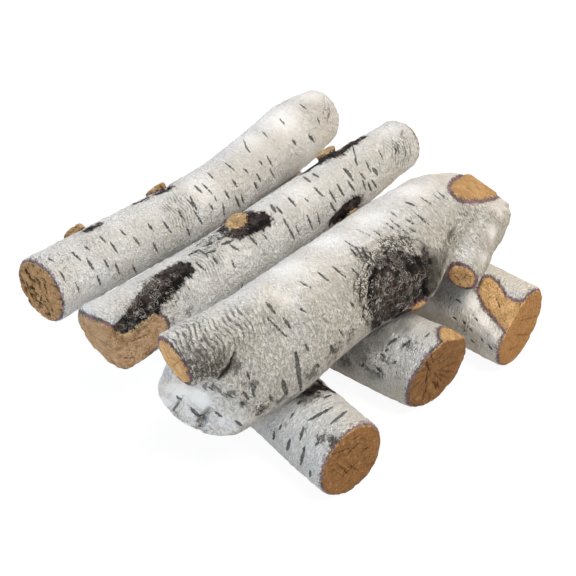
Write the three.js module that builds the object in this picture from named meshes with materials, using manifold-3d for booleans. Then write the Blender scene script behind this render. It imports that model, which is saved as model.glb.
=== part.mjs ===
// A gas fire's log set: six loose birch-look ceramic logs, stacked as a raft.
// Three base logs lie front to back on the hearth and three top logs lie across them.
// Millimetres, +X along the top logs, +Y to the back of the hearth, +Z up.
// The origin is on the hearth, under the middle of the stack.
import * as THREE from 'three';
import { mergeVertices } from 'three/addons/utils/BufferGeometryUtils.js';
import Module from 'manifold-3d';

const wasm = await Module();
wasm.setup();
const radians = THREE.MathUtils.degToRad;

// Driving dimensions: length and thickness of each log.
const rearLogLength = 382;
const rearLogGirth = 60;
const middleLogLength = 386;
const middleLogGirth = 58;
const frontLogLength = 356;
const frontLogGirth = 92;
const leftBaseLength = 230;
const leftBaseGirth = 68;
const centreBaseLength = 304;
const centreBaseGirth = 76;
const rightBaseLength = 336;
const rightBaseGirth = 78;

// The front log's stub and arm, the hollow in its near end, and the knots cast on the other top logs.
const stubLength = 92;
const stubGirth = 50;
const stubTipReach = 20;
const armLength = 88;
const armGirth = 62;
const hollowDepth = 4;
const knotGirth = 23;
const knotRise = 6;

// Places on the hearth: how far the logs reach past one another, and the open gaps between them.
const leftBaseFrontReach = 85;
const centreBaseFrontReach = 76;
const rightBaseFrontReach = 99;
const leftBaseGap = 35;
const rightBaseGap = 32;
const rearLogLeftReach = 179;
const middleLogLeftReach = 109;
const frontLogLeftReach = 88;
const middleLogGap = 45;
const rearLogGap = 16;

// Headings of the middle lines in plan, degrees from +X.
const rearLogHeading = 0;
const middleLogHeading = -2.5;
const frontLogHeading = 0;
const leftBaseHeading = 78;
const centreBaseHeading = 93;
const rightBaseHeading = 85;

// Fits and edges: the moulded seats under the top logs, the flats that the base logs stand on,
// the rounding of each log's end, and how far a cutting block runs past what it cuts.
const seatClearance = 0.3;
const seatBite = 1.6;
const flatDepth = 2;
const edgeRound = 2.5;
const cutOverrun = 400;

// Every log is laid out from its near end. Turn 0 is its top and +90 its left side, looking along it.
// Shares along a log are of its length, shares across it are of its girth, and slopes are of its end cuts.
const plainSpineShares = [[0, 0], [1, 0]];
const barkWaveShares = [[2, 0.025, 0.6], [3, 0.015, 2.1]];

const leftBase = {
  name: 'left_base_log',
  length: leftBaseLength,
  girth: leftBaseGirth,
  heading: radians(leftBaseHeading),
  onHearth: true,
  swellShares: [[0, 1], [0.5, 1], [1, 0.92]],
  waveShares: [[2, 0.02, 1.9], [3, 0.012, 0.3]],
  sideShares: plainSpineShares,
  riseShares: plainSpineShares,
  nearSlopes: [0.05, -0.05],
  farSlopes: [0.05, 0.05],
  facets: [],
  rings: 10,
  sides: 26,
};

const centreBase = {
  name: 'centre_base_log',
  length: centreBaseLength,
  girth: centreBaseGirth,
  heading: radians(centreBaseHeading),
  onHearth: true,
  swellShares: [[0, 1], [0.55, 1], [1, 0.93]],
  waveShares: [[2, 0.02, 0.4], [3, 0.012, 1.1]],
  sideShares: plainSpineShares,
  riseShares: plainSpineShares,
  nearSlopes: [-0.12, 0.18],
  farSlopes: [0.05, 0.05],
  facets: [{ end: 'near', turn: radians(-22), tilt: radians(64), depthShare: 0.085 }],
  rings: 12,
  sides: 26,
};

const rightBase = {
  name: 'right_base_log',
  length: rightBaseLength,
  girth: rightBaseGirth,
  heading: radians(rightBaseHeading),
  onHearth: true,
  swellShares: [[0, 1], [0.5, 1], [1, 0.9]],
  waveShares: [[2, 0.02, 0.9], [3, 0.012, 2.5]],
  sideShares: plainSpineShares,
  riseShares: plainSpineShares,
  nearSlopes: [-0.07, -0.13],
  farSlopes: [0.05, 0.05],
  facets: [{ end: 'near', turn: radians(38), tilt: radians(80), depthShare: 0.11 }],
  rings: 12,
  sides: 26,
};

const frontLog = {
  name: 'front_forked_log',
  length: frontLogLength,
  girth: frontLogGirth,
  heading: radians(frontLogHeading),
  swellShares: [[0, 0.8], [0.08, 1], [0.16, 1.06], [0.3, 1.03], [0.5, 1], [0.62, 0.98], [0.8, 0.9], [0.93, 0.8], [1, 0.62]],
  waveShares: barkWaveShares,
  sideShares: [[0, 0.14], [0.25, 0], [0.8, 0], [1, -0.14]],
  riseShares: [[0, -0.32], [0.1, -0.12], [0.25, 0], [0.8, 0], [1, -0.1]],
  lumps: [
    { alongShare: 0.6, turn: radians(-108), riseShare: 0.3, spreadShare: 0.085, spreadTurn: 0.66 },
    { alongShare: 0.8, turn: radians(-85), riseShare: 0.16, spreadShare: 0.1, spreadTurn: 0.6 },
  ],
  nearSlopes: [-0.15, -0.38],
  farSlopes: [0, 0],
  facets: [{ end: 'far', turn: radians(-16), tilt: radians(65), depthShare: 0.15 }],
  rings: 26,
  sides: 32,
};

const middleLog = {
  name: 'middle_log',
  length: middleLogLength,
  girth: middleLogGirth,
  heading: radians(middleLogHeading),
  swellShares: [[0, 1.16], [0.15, 1.1], [0.4, 1.03], [0.8, 1.03], [1, 0.9]],
  waveShares: barkWaveShares,
  sideShares: [[0, 0.08], [0.3, 0], [1, 0]],
  riseShares: plainSpineShares,
  nearSlopes: [-0.15, 0],
  farSlopes: [0, 0],
  facets: [{ end: 'near', turn: radians(-84), tilt: radians(64), depthShare: 0.33 }],
  knots: [
    { alongShare: 0.43, turn: radians(19), riseShare: 0.2 },
    { alongShare: 0.765, turn: radians(34), riseShare: 1 },
    { alongShare: 0.71, turn: radians(-112), riseShare: 0.6 },
  ],
  rings: 24,
  sides: 26,
};

const rearLog = {
  name: 'rear_log',
  length: rearLogLength,
  girth: rearLogGirth,
  heading: radians(rearLogHeading),
  swellShares: [[0, 1.03], [0.25, 1], [0.5, 1], [0.7, 1.05], [0.88, 1.15], [1, 0.96]],
  waveShares: barkWaveShares,
  sideShares: [[0, 0.22], [0.5, 0], [1, 0.27]],
  riseShares: [[0, -0.06], [0.5, 0], [1, 0.05]],
  nearSlopes: [0, 0],
  farSlopes: [0, 0],
  facets: [],
  knots: [
    { alongShare: 0.165, turn: radians(60), riseShare: 0.7 },
    { alongShare: 0.4, turn: radians(50), riseShare: 0.5 },
  ],
  rings: 24,
  sides: 26,
};

const bases = [leftBase, centreBase, rightBase];
const tops = [frontLog, middleLog, rearLog];

// The front log's stub and arm run from their cut tips into the log: places in its own frame.
const stub = {
  length: stubLength,
  girth: stubGirth,
  heading: radians(-12),
  pitch: radians(0),
  near: new THREE.Vector3(-stubTipReach, 0.2 * frontLogGirth, 0.28 * frontLogGirth),
  swellShares: [[0, 0.95], [0.3, 1], [1, 1.12]],
  waveShares: barkWaveShares,
  sideShares: plainSpineShares,
  riseShares: plainSpineShares,
  nearSlopes: [-0.2, 0],
  farSlopes: [0, 0],
  facets: [],
  rings: 8,
  sides: 22,
};

const arm = {
  length: armLength,
  girth: armGirth,
  heading: radians(21),
  pitch: radians(8),
  near: new THREE.Vector3(0.712 * frontLogLength, -0.62 * frontLogGirth, -0.2 * frontLogGirth),
  swellShares: [[0, 0.52], [0.4, 0.86], [0.75, 1], [1, 1]],
  waveShares: barkWaveShares,
  sideShares: [[0, 0], [0.5, 0.12], [1, 0.08]],
  riseShares: plainSpineShares,
  nearSlopes: [0, 0.2],
  farSlopes: [0, 0],
  facets: [],
  rings: 8,
  sides: 22,
};

// Eased value between [place, value] pairs.
function follow(pairs, place) {
  const last = pairs.length - 1;
  if (place <= pairs[0][0]) return pairs[0][1];
  if (place >= pairs[last][0]) return pairs[last][1];
  const next = pairs.findIndex((pair) => pair[0] > place);
  const [from, start] = pairs[next - 1];
  const [to, end] = pairs[next];
  const part = (place - from) / (to - from);
  return start + (end - start) * part * part * (3 - 2 * part);
}

// A log's radius at a share of its length, towards one turn about its middle line.
function radiusAt(log, along, turn) {
  let radius = (log.girth / 2) * follow(log.swellShares, along);
  for (const [waves, rise, phase] of log.waveShares) {
    radius *= 1 + rise * Math.cos(waves * turn + phase);
  }
  for (const lump of log.lumps ?? []) {
    const away = (along - lump.alongShare) / lump.spreadShare;
    const turned = turn - lump.turn;
    const angle = Math.atan2(Math.sin(turned), Math.cos(turned)) / lump.spreadTurn;
    radius *= 1 + lump.riseShare * Math.exp(-away * away - angle * angle);
  }
  return radius;
}

// A log's middle line in its own frame: along it, to its left and up. A base log sinks by its flat.
function spineAt(log, along) {
  const side = log.girth * follow(log.sideShares, along);
  const rise = log.girth * follow(log.riseShares, along);
  const lying = log.onHearth ? radiusAt(log, along, Math.PI) - flatDepth : 0;
  return new THREE.Vector3(along * log.length, side, rise + lying);
}

// How far a point near an end is carried along by the slope of the cut there.
function endSlant(log, along, lift, out) {
  const fadeShare = 0.3;
  const near = Math.max(0, 1 - along / fadeShare);
  const far = Math.max(0, 1 - (1 - along) / fadeShare);
  const nearSlant = log.nearSlopes[0] * lift + log.nearSlopes[1] * out;
  const farSlant = log.farSlopes[0] * lift + log.farSlopes[1] * out;
  return near * nearSlant + far * farSlant;
}

// A closed log-shaped geometry: a unit lathe, bent along the middle line and swollen to the radius.
function sweep(log, grow) {
  const flatShare = 1 - (2 * edgeRound) / log.girth;
  const profile = [new THREE.Vector2(0, 0), new THREE.Vector2(flatShare, 0)];
  for (let ring = 0; ring <= log.rings; ring += 1) {
    profile.push(new THREE.Vector2(1, ring / log.rings));
  }
  profile.push(new THREE.Vector2(flatShare, 1), new THREE.Vector2(0, 1));
  const shape = new THREE.LatheGeometry(profile, log.sides);
  const places = shape.attributes.position;
  for (let index = 0; index < places.count; index += 1) {
    const point = new THREE.Vector3().fromBufferAttribute(places, index);
    const along = point.y;
    const turn = Math.atan2(-point.x, point.z);
    const radius = Math.hypot(point.x, point.z) * (radiusAt(log, along, turn) + grow);
    const lift = radius * Math.cos(turn);
    const out = radius * Math.sin(turn);
    const spine = spineAt(log, along);
    const step = index % profile.length;
    const inset = edgeRound * ((step === 2) - (step === profile.length - 3));
    const forward = spine.x + inset + endSlant(log, along, lift, out);
    places.setXYZ(index, forward, spine.y + out, spine.z + lift);
  }
  return shape;
}

// Geometry to solid and back.
function toSolid(geometry) {
  geometry.deleteAttribute('normal');
  geometry.deleteAttribute('uv');
  const merged = mergeVertices(geometry, 1e-4);
  const corners = merged.index.array;
  const kept = [];
  for (let index = 0; index < corners.length; index += 3) {
    const [first, second, third] = corners.slice(index, index + 3);
    if (first !== second && second !== third && third !== first) kept.push(first, second, third);
  }
  return new wasm.Manifold(new wasm.Mesh({
    numProp: 3,
    vertProperties: new Float32Array(merged.attributes.position.array),
    triVerts: new Uint32Array(kept),
  }));
}

function toGeometry(solid) {
  const mesh = solid.getMesh();
  const geometry = new THREE.BufferGeometry();
  geometry.setAttribute('position', new THREE.BufferAttribute(new Float32Array(mesh.vertProperties), 3));
  geometry.setIndex(new THREE.BufferAttribute(new Uint32Array(mesh.triVerts), 1));
  geometry.computeVertexNormals();
  return geometry;
}

// A point on a log's skin at one of its ends, and the unit vector out of the log there.
function endCorner(log, facet) {
  const along = facet.end === 'far' ? 1 : 0;
  const radial = new THREE.Vector3(0, Math.sin(facet.turn), Math.cos(facet.turn));
  const skin = radial.clone().multiplyScalar(radiusAt(log, along, facet.turn));
  const corner = spineAt(log, along).add(skin);
  corner.x += endSlant(log, along, skin.z, skin.y);
  return [corner, radial];
}

// A slanting saw cut across the edge of an end: a block whose face lies on the plane of the cut.
function facetBlock(log, facet) {
  const [corner, radial] = endCorner(log, facet);
  const normal = radial.multiplyScalar(Math.sin(facet.tilt));
  normal.x = facet.end === 'far' ? Math.cos(facet.tilt) : -Math.cos(facet.tilt);
  const block = new THREE.BoxGeometry(cutOverrun, cutOverrun, cutOverrun);
  block.applyQuaternion(new THREE.Quaternion().setFromUnitVectors(new THREE.Vector3(1, 0, 0), normal));
  const middle = corner.addScaledVector(normal, cutOverrun / 2 - facet.depthShare * log.girth);
  block.translate(middle.x, middle.y, middle.z);
  return toSolid(block);
}

// A knot: the low sawn-off root of a twig, standing square on the bark.
function knotSolid(log, knot) {
  const tipShare = 0.86;
  const reach = radiusAt(log, knot.alongShare, knot.turn) + knot.riseShare * knotRise;
  const post = new THREE.CylinderGeometry((tipShare * knotGirth) / 2, knotGirth / 2, reach, 16);
  post.translate(0, reach / 2, 0);
  post.rotateX(Math.PI / 2 - knot.turn);
  const spine = spineAt(log, knot.alongShare);
  post.translate(spine.x, spine.y, spine.z);
  return toSolid(post);
}

// The dished, broken-off near end of the front log: a ball as wide as the end takes the dish away.
function hollowBall(log) {
  const endRadius = radiusAt(log, 0, Math.PI);
  const ballRadius = (endRadius * endRadius + hollowDepth * hollowDepth) / (2 * hollowDepth);
  const normal = new THREE.Vector3(-1, log.nearSlopes[1], log.nearSlopes[0]).normalize();
  const centre = spineAt(log, 0).addScaledVector(normal, ballRadius - hollowDepth);
  const ball = new THREE.SphereGeometry(ballRadius, 64, 40);
  ball.translate(centre.x, centre.y, centre.z);
  return toSolid(ball);
}

function logSolid(log, grow = 0) {
  let solid = toSolid(sweep(log, grow));
  if (grow > 0) return solid;
  for (const facet of log.facets) solid = solid.subtract(facetBlock(log, facet));
  for (const knot of log.knots ?? []) solid = solid.add(knotSolid(log, knot));
  return solid;
}

function frontLogSolid() {
  let solid = toSolid(sweep(frontLog, 0)).subtract(hollowBall(frontLog));
  for (const branch of [stub, arm]) solid = solid.add(placed(branch, logSolid(branch)));
  for (const facet of frontLog.facets) solid = solid.subtract(facetBlock(frontLog, facet));
  return solid;
}

// Plan places. The centre base log crosses the front log at (0, 0).
function ahead(log) {
  return new THREE.Vector3(Math.cos(log.heading), Math.sin(log.heading), 0);
}

function layOut(log, crossX, crossY, reach) {
  log.near = new THREE.Vector3(crossX, crossY, 0).addScaledVector(ahead(log), -reach);
}

function layAcross(log, y, support, reach) {
  const crossX = support.near.x + (y - support.near.y) / Math.tan(support.heading);
  layOut(log, crossX, y, reach);
}

// Where two middle lines cross in plan: the millimetres along each of them.
function crossing(log, other) {
  const gap = other.near.clone().sub(log.near);
  const one = ahead(log);
  const two = ahead(other);
  const turn = one.x * two.y - one.y * two.x;
  return [(gap.x * two.y - gap.y * two.x) / turn, (gap.x * one.y - gap.y * one.x) / turn];
}

// The height at which a top log's middle line lies when it is seated on one base log.
function seatedHeight(log, base) {
  const [along, across] = crossing(log, base);
  const share = THREE.MathUtils.clamp(along / log.length, 0, 1);
  const baseShare = THREE.MathUtils.clamp(across / base.length, 0, 1);
  const crown = spineAt(base, baseShare).z + radiusAt(base, baseShare, 0);
  const under = radiusAt(log, share, Math.PI) - spineAt(log, share).z;
  return [along, crown + seatClearance - seatBite + under];
}

// A top log lies on its two outer base logs, which set its height and its slope.
function restOn(log, first, last) {
  const [fromAlong, fromHeight] = seatedHeight(log, first);
  const [toAlong, toHeight] = seatedHeight(log, last);
  const slope = (toHeight - fromHeight) / (toAlong - fromAlong);
  log.near.z = fromHeight - slope * fromAlong;
  log.pitch = Math.atan(slope);
}

function placed(log, solid) {
  const along = ahead(log);
  const side = new THREE.Vector3(-along.y, along.x, 0);
  along.applyAxisAngle(side, -(log.pitch ?? 0));
  const up = new THREE.Vector3().crossVectors(along, side);
  const place = new THREE.Matrix4().makeBasis(along, side, up).setPosition(log.near);
  return solid.transform(place.elements);
}

// The flats under the base logs: everything below the hearth is cut away.
function hearthBlock() {
  const block = new THREE.BoxGeometry(2 * cutOverrun, 2 * cutOverrun, cutOverrun);
  block.translate(0, 0, -cutOverrun / 2);
  return toSolid(block);
}

// The painted, fired ceramic of one log.
function birch(colour) {
  return new THREE.MeshStandardMaterial({ color: colour, roughness: 0.85, metalness: 0 });
}

const group = new THREE.Group();

function addLog(log, solid, colour) {
  const mesh = new THREE.Mesh(toGeometry(solid), birch(colour));
  mesh.name = log.name;
  group.add(mesh);
}

function makeBaseLogs() {
  const hearth = hearthBlock();
  for (const base of bases) {
    addLog(base, placed(base, logSolid(base)).subtract(hearth), 0xdedad2);
  }
}

function makeTopLogs() {
  const seats = bases.map((base) => placed(base, logSolid(base, seatClearance)));
  for (const top of tops) {
    let solid = placed(top, top === frontLog ? frontLogSolid() : logSolid(top));
    for (const seat of seats) solid = solid.subtract(seat);
    addLog(top, solid, 0xe8e6e2);
  }
}

const middleLogY = (frontLogGirth + middleLogGirth) / 2 + middleLogGap;
const rearLogY = middleLogY + (middleLogGirth + rearLogGirth) / 2 + rearLogGap;
layOut(centreBase, 0, 0, centreBaseFrontReach);
layOut(leftBase, -(centreBaseGirth + leftBaseGirth) / 2 - leftBaseGap, 0, leftBaseFrontReach);
layOut(rightBase, (centreBaseGirth + rightBaseGirth) / 2 + rightBaseGap, 0, rightBaseFrontReach);
layAcross(frontLog, 0, leftBase, frontLogLeftReach);
layAcross(middleLog, middleLogY, leftBase, middleLogLeftReach);
layAcross(rearLog, rearLogY, centreBase, rearLogLeftReach);
restOn(frontLog, leftBase, rightBase);
restOn(middleLog, leftBase, rightBase);
restOn(rearLog, centreBase, rightBase);
makeBaseLogs();
makeTopLogs();

// The origin goes under the middle of the stack.
const bounds = new THREE.Box3().setFromObject(group);
const centre = bounds.getCenter(new THREE.Vector3());
group.position.set(-centre.x, -centre.y, -bounds.min.z);
export default group;
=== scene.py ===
# %% [markdown]
# # A gas fire's log set
# Six loose logs lie in a stack on a hearth: three base logs from front to back, and three longer
# logs across them. The real ones are cast in refractory ceramic, fired, and painted to look like
# birch. This lesson gives each plain CAD log its bark, its sawn ends and its knots.

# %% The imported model
import itertools
import math
from functools import partial
from types import SimpleNamespace

import bpy
import numpy as np
from mathutils import Euler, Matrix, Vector
from mathutils.bvhtree import BVHTree


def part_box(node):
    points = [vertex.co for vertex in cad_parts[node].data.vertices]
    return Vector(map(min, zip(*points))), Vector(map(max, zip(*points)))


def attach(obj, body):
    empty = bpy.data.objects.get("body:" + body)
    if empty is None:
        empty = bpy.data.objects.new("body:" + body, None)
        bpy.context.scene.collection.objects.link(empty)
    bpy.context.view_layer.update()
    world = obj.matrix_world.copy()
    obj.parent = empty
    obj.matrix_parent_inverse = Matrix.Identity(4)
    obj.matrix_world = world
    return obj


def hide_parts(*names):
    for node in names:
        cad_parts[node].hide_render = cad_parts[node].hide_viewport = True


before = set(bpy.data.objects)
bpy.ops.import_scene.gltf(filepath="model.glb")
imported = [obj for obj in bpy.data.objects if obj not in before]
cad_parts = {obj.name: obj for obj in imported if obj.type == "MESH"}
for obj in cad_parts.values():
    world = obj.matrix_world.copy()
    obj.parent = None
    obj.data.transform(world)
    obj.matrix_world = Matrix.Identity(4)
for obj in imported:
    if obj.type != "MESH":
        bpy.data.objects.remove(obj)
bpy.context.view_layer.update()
print("CAD nodes:", sorted(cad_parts))

# %% [markdown]
# ## The camera
# The photograph was taken from the front left with a long lens, about 36 degrees above the hearth.
# A long lens far away keeps the logs nearly parallel, so the camera is set by its angle, its
# distance and the point it looks at. Lengths are written in millimetres, apart from the floor's
# and the lamps' at the end, which are in metres.

# %% The camera
MM = 0.001
PICTURE_SIDE = 576
SENSOR = 36
camera_turn = math.radians(-49.5)
camera_dip = math.radians(36.5)
camera_distance = 1100
camera_target = Vector((-19.1, -7.7, 80))
pixels_across_focus = 1250

camera_back = Vector((
    math.sin(camera_turn) * math.cos(camera_dip),
    -math.cos(camera_turn) * math.cos(camera_dip),
    math.sin(camera_dip),
))
camera_place = camera_target + camera_back * camera_distance
bpy.ops.object.camera_add(
    location=camera_place * MM, rotation=camera_back.to_track_quat("Z", "Y").to_euler()
)
camera = bpy.context.object
camera.data.sensor_width = SENSOR
camera.data.lens = SENSOR * pixels_across_focus / PICTURE_SIDE
bpy.context.scene.camera = camera
print("camera at", [round(v) for v in camera_place], "mm, lens", camera.data.lens, "mm")

# %% [markdown]
# Marks are later placed where the photograph shows them, so the lesson needs to go both ways:
# from a point of the picture out into the scene, and from a place in the scene to the picture.


# %% A line of sight
def sight(x, y):
    """The direction from the camera through one point of the picture."""
    middle = PICTURE_SIDE / 2
    turn = camera.rotation_euler.to_matrix()
    return (turn @ Vector((x - middle, middle - y, -pixels_across_focus))).normalized()


def picture_points(places):
    """Where places in millimetres appear in the picture, as rows of x and y."""
    turn = np.array(camera.rotation_euler.to_matrix())
    own = (places - np.array(camera_place)) @ turn
    middle = PICTURE_SIDE / 2
    return middle + own[:, :2] / -own[:, 2:] * pixels_across_focus * (1, -1)


print("middle of the picture looks along", [round(v, 2) for v in sight(288, 288)])
print("the origin appears at", picture_points(np.zeros((1, 3))).round()[0])

# %% [markdown]
# ## Where the logs lie
# Each log has a middle line that starts at its near end. The names and places repeat the CAD
# model's, because bark wraps around that line: lenticels, the dark dashes of birch bark, always
# run around a log and never along it.

# %% The logs' middle lines
# Heading and pitch are in degrees. The grain is the width of the squares in the log's skin.
line_titles = ("near", "heading", "pitch", "length", "girth", "grain")
line_rows = {
    "left_base_log": ((-111.8, -153.9, 32), 78, 0, 230, 68, 1.15),
    "centre_base_log": ((16.9, -146.6, 36), 93, 0, 304, 76, 1.25),
    "right_base_log": ((113.3, -169.4, 37), 85, 0, 336, 78, 1.3),
    "front_forked_log": ((-182.1, -70.7, 111.6), 0, 1.1, 356, 92, 1.3),
    "middle_log": ((-177.5, 54, 83.4), -2.5, 4, 386, 58, 1.2),
    "rear_log": ((-176.3, 124.3, 94.2), 0, 2, 382, 60, 1.2),
}
logs = {name: dict(zip(line_titles, row)) for name, row in line_rows.items()}


def axes(heading, pitch):
    """Rows: along a log, to its left, and up from it."""
    turn = Euler((0, -math.radians(pitch), math.radians(heading))).to_matrix()
    return np.array(turn.transposed())


for name, log in logs.items():
    log["near"] = np.array(log["near"], float)
    log["axes"] = axes(log["heading"], log["pitch"])
    print(name, "runs to", (log["near"] + log["axes"][0] * log["length"]).round())

# %% [markdown]
# ## Moving points in bulk
# A cast log has far too many points to push by hand, so they are read into one array, moved
# together, and written back. Random lumps come from a lattice of random numbers that is eased
# from cell to cell, which gives the same result on every run.


# %% Points and normals
def places_of(piece):
    flat = np.empty(len(piece.data.vertices) * 3)
    piece.data.vertices.foreach_get("co", flat)
    return flat.reshape(-1, 3) / MM


def move_to(piece, places):
    piece.data.vertices.foreach_set("co", (places * MM).ravel())
    piece.data.update()


def normals_of(piece):
    flat = np.empty(len(piece.data.vertices) * 3)
    piece.data.vertex_normals.foreach_get("vector", flat)
    return flat.reshape(-1, 3)


def own_places(log, places):
    """Millimetres along a log, to its left and up, from its near end."""
    return (places - log["near"]) @ log["axes"].T


print("the rear log's CAD has", len(places_of(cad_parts["rear_log"])), "points")

# %% Lumps
# Large odd numbers that scramble a cell's place in the lattice into a random value.
CELL_SCRAMBLE = (374761393, 668265263, 1442695041)
SEED_SCRAMBLE = 1274126177
VALUE_SCRAMBLE = 1103515245


def eased(part):
    """0 to 1, with a soft start and a soft end."""
    return part * part * (3 - 2 * part)


def step_up(values, low, high):
    """0 below low and 1 above high, eased between them. low may be the larger one."""
    return eased(np.clip((values - low) / (high - low), 0, 1))


def lumps(places, sizes, seed):
    """Smooth random values from -1 to 1, one lump for every `sizes` millimetres."""
    cells = places / np.asarray(sizes, float)
    corner = np.floor(cells).astype(np.int64)
    share = eased(cells - corner)
    total = np.zeros(len(places))
    for step in itertools.product((0, 1), repeat=3):
        mixed = ((corner + step) * CELL_SCRAMBLE).sum(1) + seed * SEED_SCRAMBLE
        mixed = (mixed ^ (mixed >> 13)) * VALUE_SCRAMBLE
        value = ((mixed ^ (mixed >> 16)) & 0xFFFF) / 0x7FFF - 1
        total += value * np.prod(np.where(step, share, 1 - share), axis=1)
    return total


three_points = np.array([[0, 0, 0], [5, 0, 0], [9, 9, 9.0]])
print("lumps at three points:", lumps(three_points, 10, 1).round(2))

# %% [markdown]
# ## From CAD solid to clay
# The CAD logs have flat facets and hard joints. A voxel remesh wraps each one in an even net of
# small squares, as if it were modelled again in clay. The square is about as wide as a pixel of
# the picture, so that shapes down to two or three millimetres can be real geometry. The copy
# gives up the CAD mesh's own UV maps and normals, which a new net can't use.

# %% An even skin over a CAD log
MERGE_GAP = 0.01


def clay_copy(name):
    bpy.ops.object.select_all(action="DESELECT")
    piece = bpy.data.objects.new(name + "_birch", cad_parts[name].data.copy())
    bpy.context.collection.objects.link(piece)
    bpy.context.view_layer.objects.active = piece
    piece.select_set(True)
    piece.data.materials.clear()
    bpy.ops.object.mode_set(mode="EDIT")
    bpy.ops.mesh.select_all(action="SELECT")
    bpy.ops.mesh.remove_doubles(threshold=MERGE_GAP * MM)
    bpy.ops.object.mode_set(mode="OBJECT")
    for title in [a.name for a in piece.data.attributes]:
        if title.startswith("UV") or title == "custom_normal":
            piece.data.attributes.remove(piece.data.attributes[title])
    skin = piece.modifiers.new("skin", "REMESH")
    skin.mode = "VOXEL"
    skin.voxel_size = logs[name]["grain"] * MM
    bpy.ops.object.modifier_apply(modifier="skin")
    bpy.ops.object.shade_smooth()
    return piece


pieces = {name: clay_copy(name) for name in logs}
for name, piece in pieces.items():
    print(piece.name, len(piece.data.polygons), "squares")

# %% [markdown]
# From here on, many places are given as a point of the photograph. A line of sight through that
# point meets the log, and the meeting place is where the mark, the patch or the rubbing goes.

# %% Looking at the logs through the picture
# The width of one pixel of the picture at the logs, in millimetres.
PIXEL = 0.88


def surface(corners, faces):
    return BVHTree.FromPolygons([Vector(c) for c in corners], faces)


def skin_of(piece):
    """A log's outside, in a form that lines of sight can meet."""
    return surface(places_of(piece), [tuple(f.vertices) for f in piece.data.polygons])


def seen(name, x, y):
    """The place where a line of sight meets one log, or None."""
    return skins[name].ray_cast(camera_place, sight(x, y))[0]


def spots(name, places, rows):
    """The highest of several soft round patches: picture x, y, radius in pixels and strength."""
    total = np.zeros(len(places))
    for x, y, radius, strength in rows:
        centre = seen(name, x, y)
        gap = np.linalg.norm(places - np.array(centre), axis=1)
        total = np.maximum(total, strength * np.exp(-((gap / (radius * PIXEL)) ** 2)))
    return total


skins = {name: skin_of(piece) for name, piece in pieces.items()}
print("the middle of the picture shows the front log at", seen("front_forked_log", 288, 340))

# %% [markdown]
# ## Joints rubbed smooth
# Where the stub and the arm grow out of the front log the clay is rubbed until the joint is gone,
# and so is the rim of the broken near end. The middle log's two saw cuts meet in a soft bend.

# %% Places to rub: picture x, y, radius in pixels and strength, then how many times
rubbed = {
    "front_forked_log": [
        ([(276, 292, 18, 1), (268, 325, 20, 1), (252, 350, 15, 1), (290, 345, 18, 1)], 240),
        ([
            (462, 212, 15, 1), (447, 240, 13, 1), (482, 205, 12, 1), (440, 262, 10, 1),
            (472, 235, 14, 1), (462, 250, 12, 1),
        ], 160),
        ([(243, 398, 20, 1), (236, 382, 16, 1)], 200), ([(225, 425, 12, 1), (250, 425, 12, 1)], 30),
        ([(170, 402, 10, 0.8), (190, 424, 10, 0.8)], 12),
        ([(392, 285, 30, 1)], 30),
    ],
    "middle_log": [([(128, 345, 24, 1), (140, 330, 18, 1), (118, 360, 18, 1)], 70)],
}
print("rubbed places:", {name: len(groups) for name, groups in rubbed.items()})

# %% Rubbing
FAINT = 0.01
RUB_SPREAD = 1.6


def soften(piece, weights, rounds):
    """Rubs the surface smooth where the weights are above nothing."""
    group = piece.vertex_groups.new(name="rub")
    for index in np.flatnonzero(weights > FAINT):
        group.add([int(index)], float(weights[index]), "REPLACE")
    bpy.context.view_layer.objects.active = piece
    smooth = piece.modifiers.new("rub", "SMOOTH")
    smooth.vertex_group = group.name
    smooth.factor = 0.5
    smooth.iterations = rounds
    bpy.ops.object.modifier_apply(modifier=smooth.name)
    piece.vertex_groups.clear()


for name, groups in rubbed.items():
    for rows, rounds in groups:
        weights = np.clip(RUB_SPREAD * spots(name, places_of(pieces[name]), rows), 0, 1)
        soften(pieces[name], weights, rounds)
        print(name, int((weights > FAINT).sum()), "points rubbed", rounds, "times")
skins = {name: skin_of(piece) for name, piece in pieces.items()}

# %% [markdown]
# ## Sawn faces
# The maker cast each end as if it were sawn, stained it tan, and left a ragged purple-brown line
# where the stain meets the white. To paint that line, every point has to know how far it is from
# the edge of its face. It is the distance to the nearest bark minus the distance to the nearest
# sawn face, both measured on the CAD model: above nothing on the face and below nothing on bark.

# %% Directions on a log
left, centre, right = logs["left_base_log"], logs["centre_base_log"], logs["right_base_log"]
front, middle, rear = logs["front_forked_log"], logs["middle_log"], logs["rear_log"]
stub = dict(near=(-20, 18.4, 25.8), heading=-12, pitch=0)
arm = dict(near=(253.5, -57, -18.4), heading=21, pitch=8)
for limb in (stub, arm):
    limb["near"] = front["near"] + np.array(limb["near"]) @ front["axes"]
    limb["axes"] = axes(limb["heading"], limb["pitch"]) @ front["axes"]


def turned(log, forward, left, up):
    """A direction given along, left of and up from a log."""
    way = np.array([forward, left, up]) @ log["axes"]
    return way / np.linalg.norm(way)


def near_facet(log, turn, tilt):
    """The direction that a slanting saw cut at a log's near end faces."""
    out, turn = math.sin(math.radians(tilt)), math.radians(turn)
    return turned(log, -math.cos(math.radians(tilt)), out * math.sin(turn), out * math.cos(turn))


print("the stub starts at", stub["near"].round(), "and the arm at", arm["near"].round())

# %% Which CAD faces are sawn
KNOT = 12


def cut(log, way, near=None, reach=90):
    """A sawn face: its direction, a place on it, and how far around that place it may lie."""
    return way, np.array(near if near is not None else log["near"], float), reach


def ends(log, near_way):
    tip = log["near"] + log["axes"][0] * log["length"]
    return [cut(log, near_way), cut(log, turned(log, 1, 0, 0), tip)]


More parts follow.
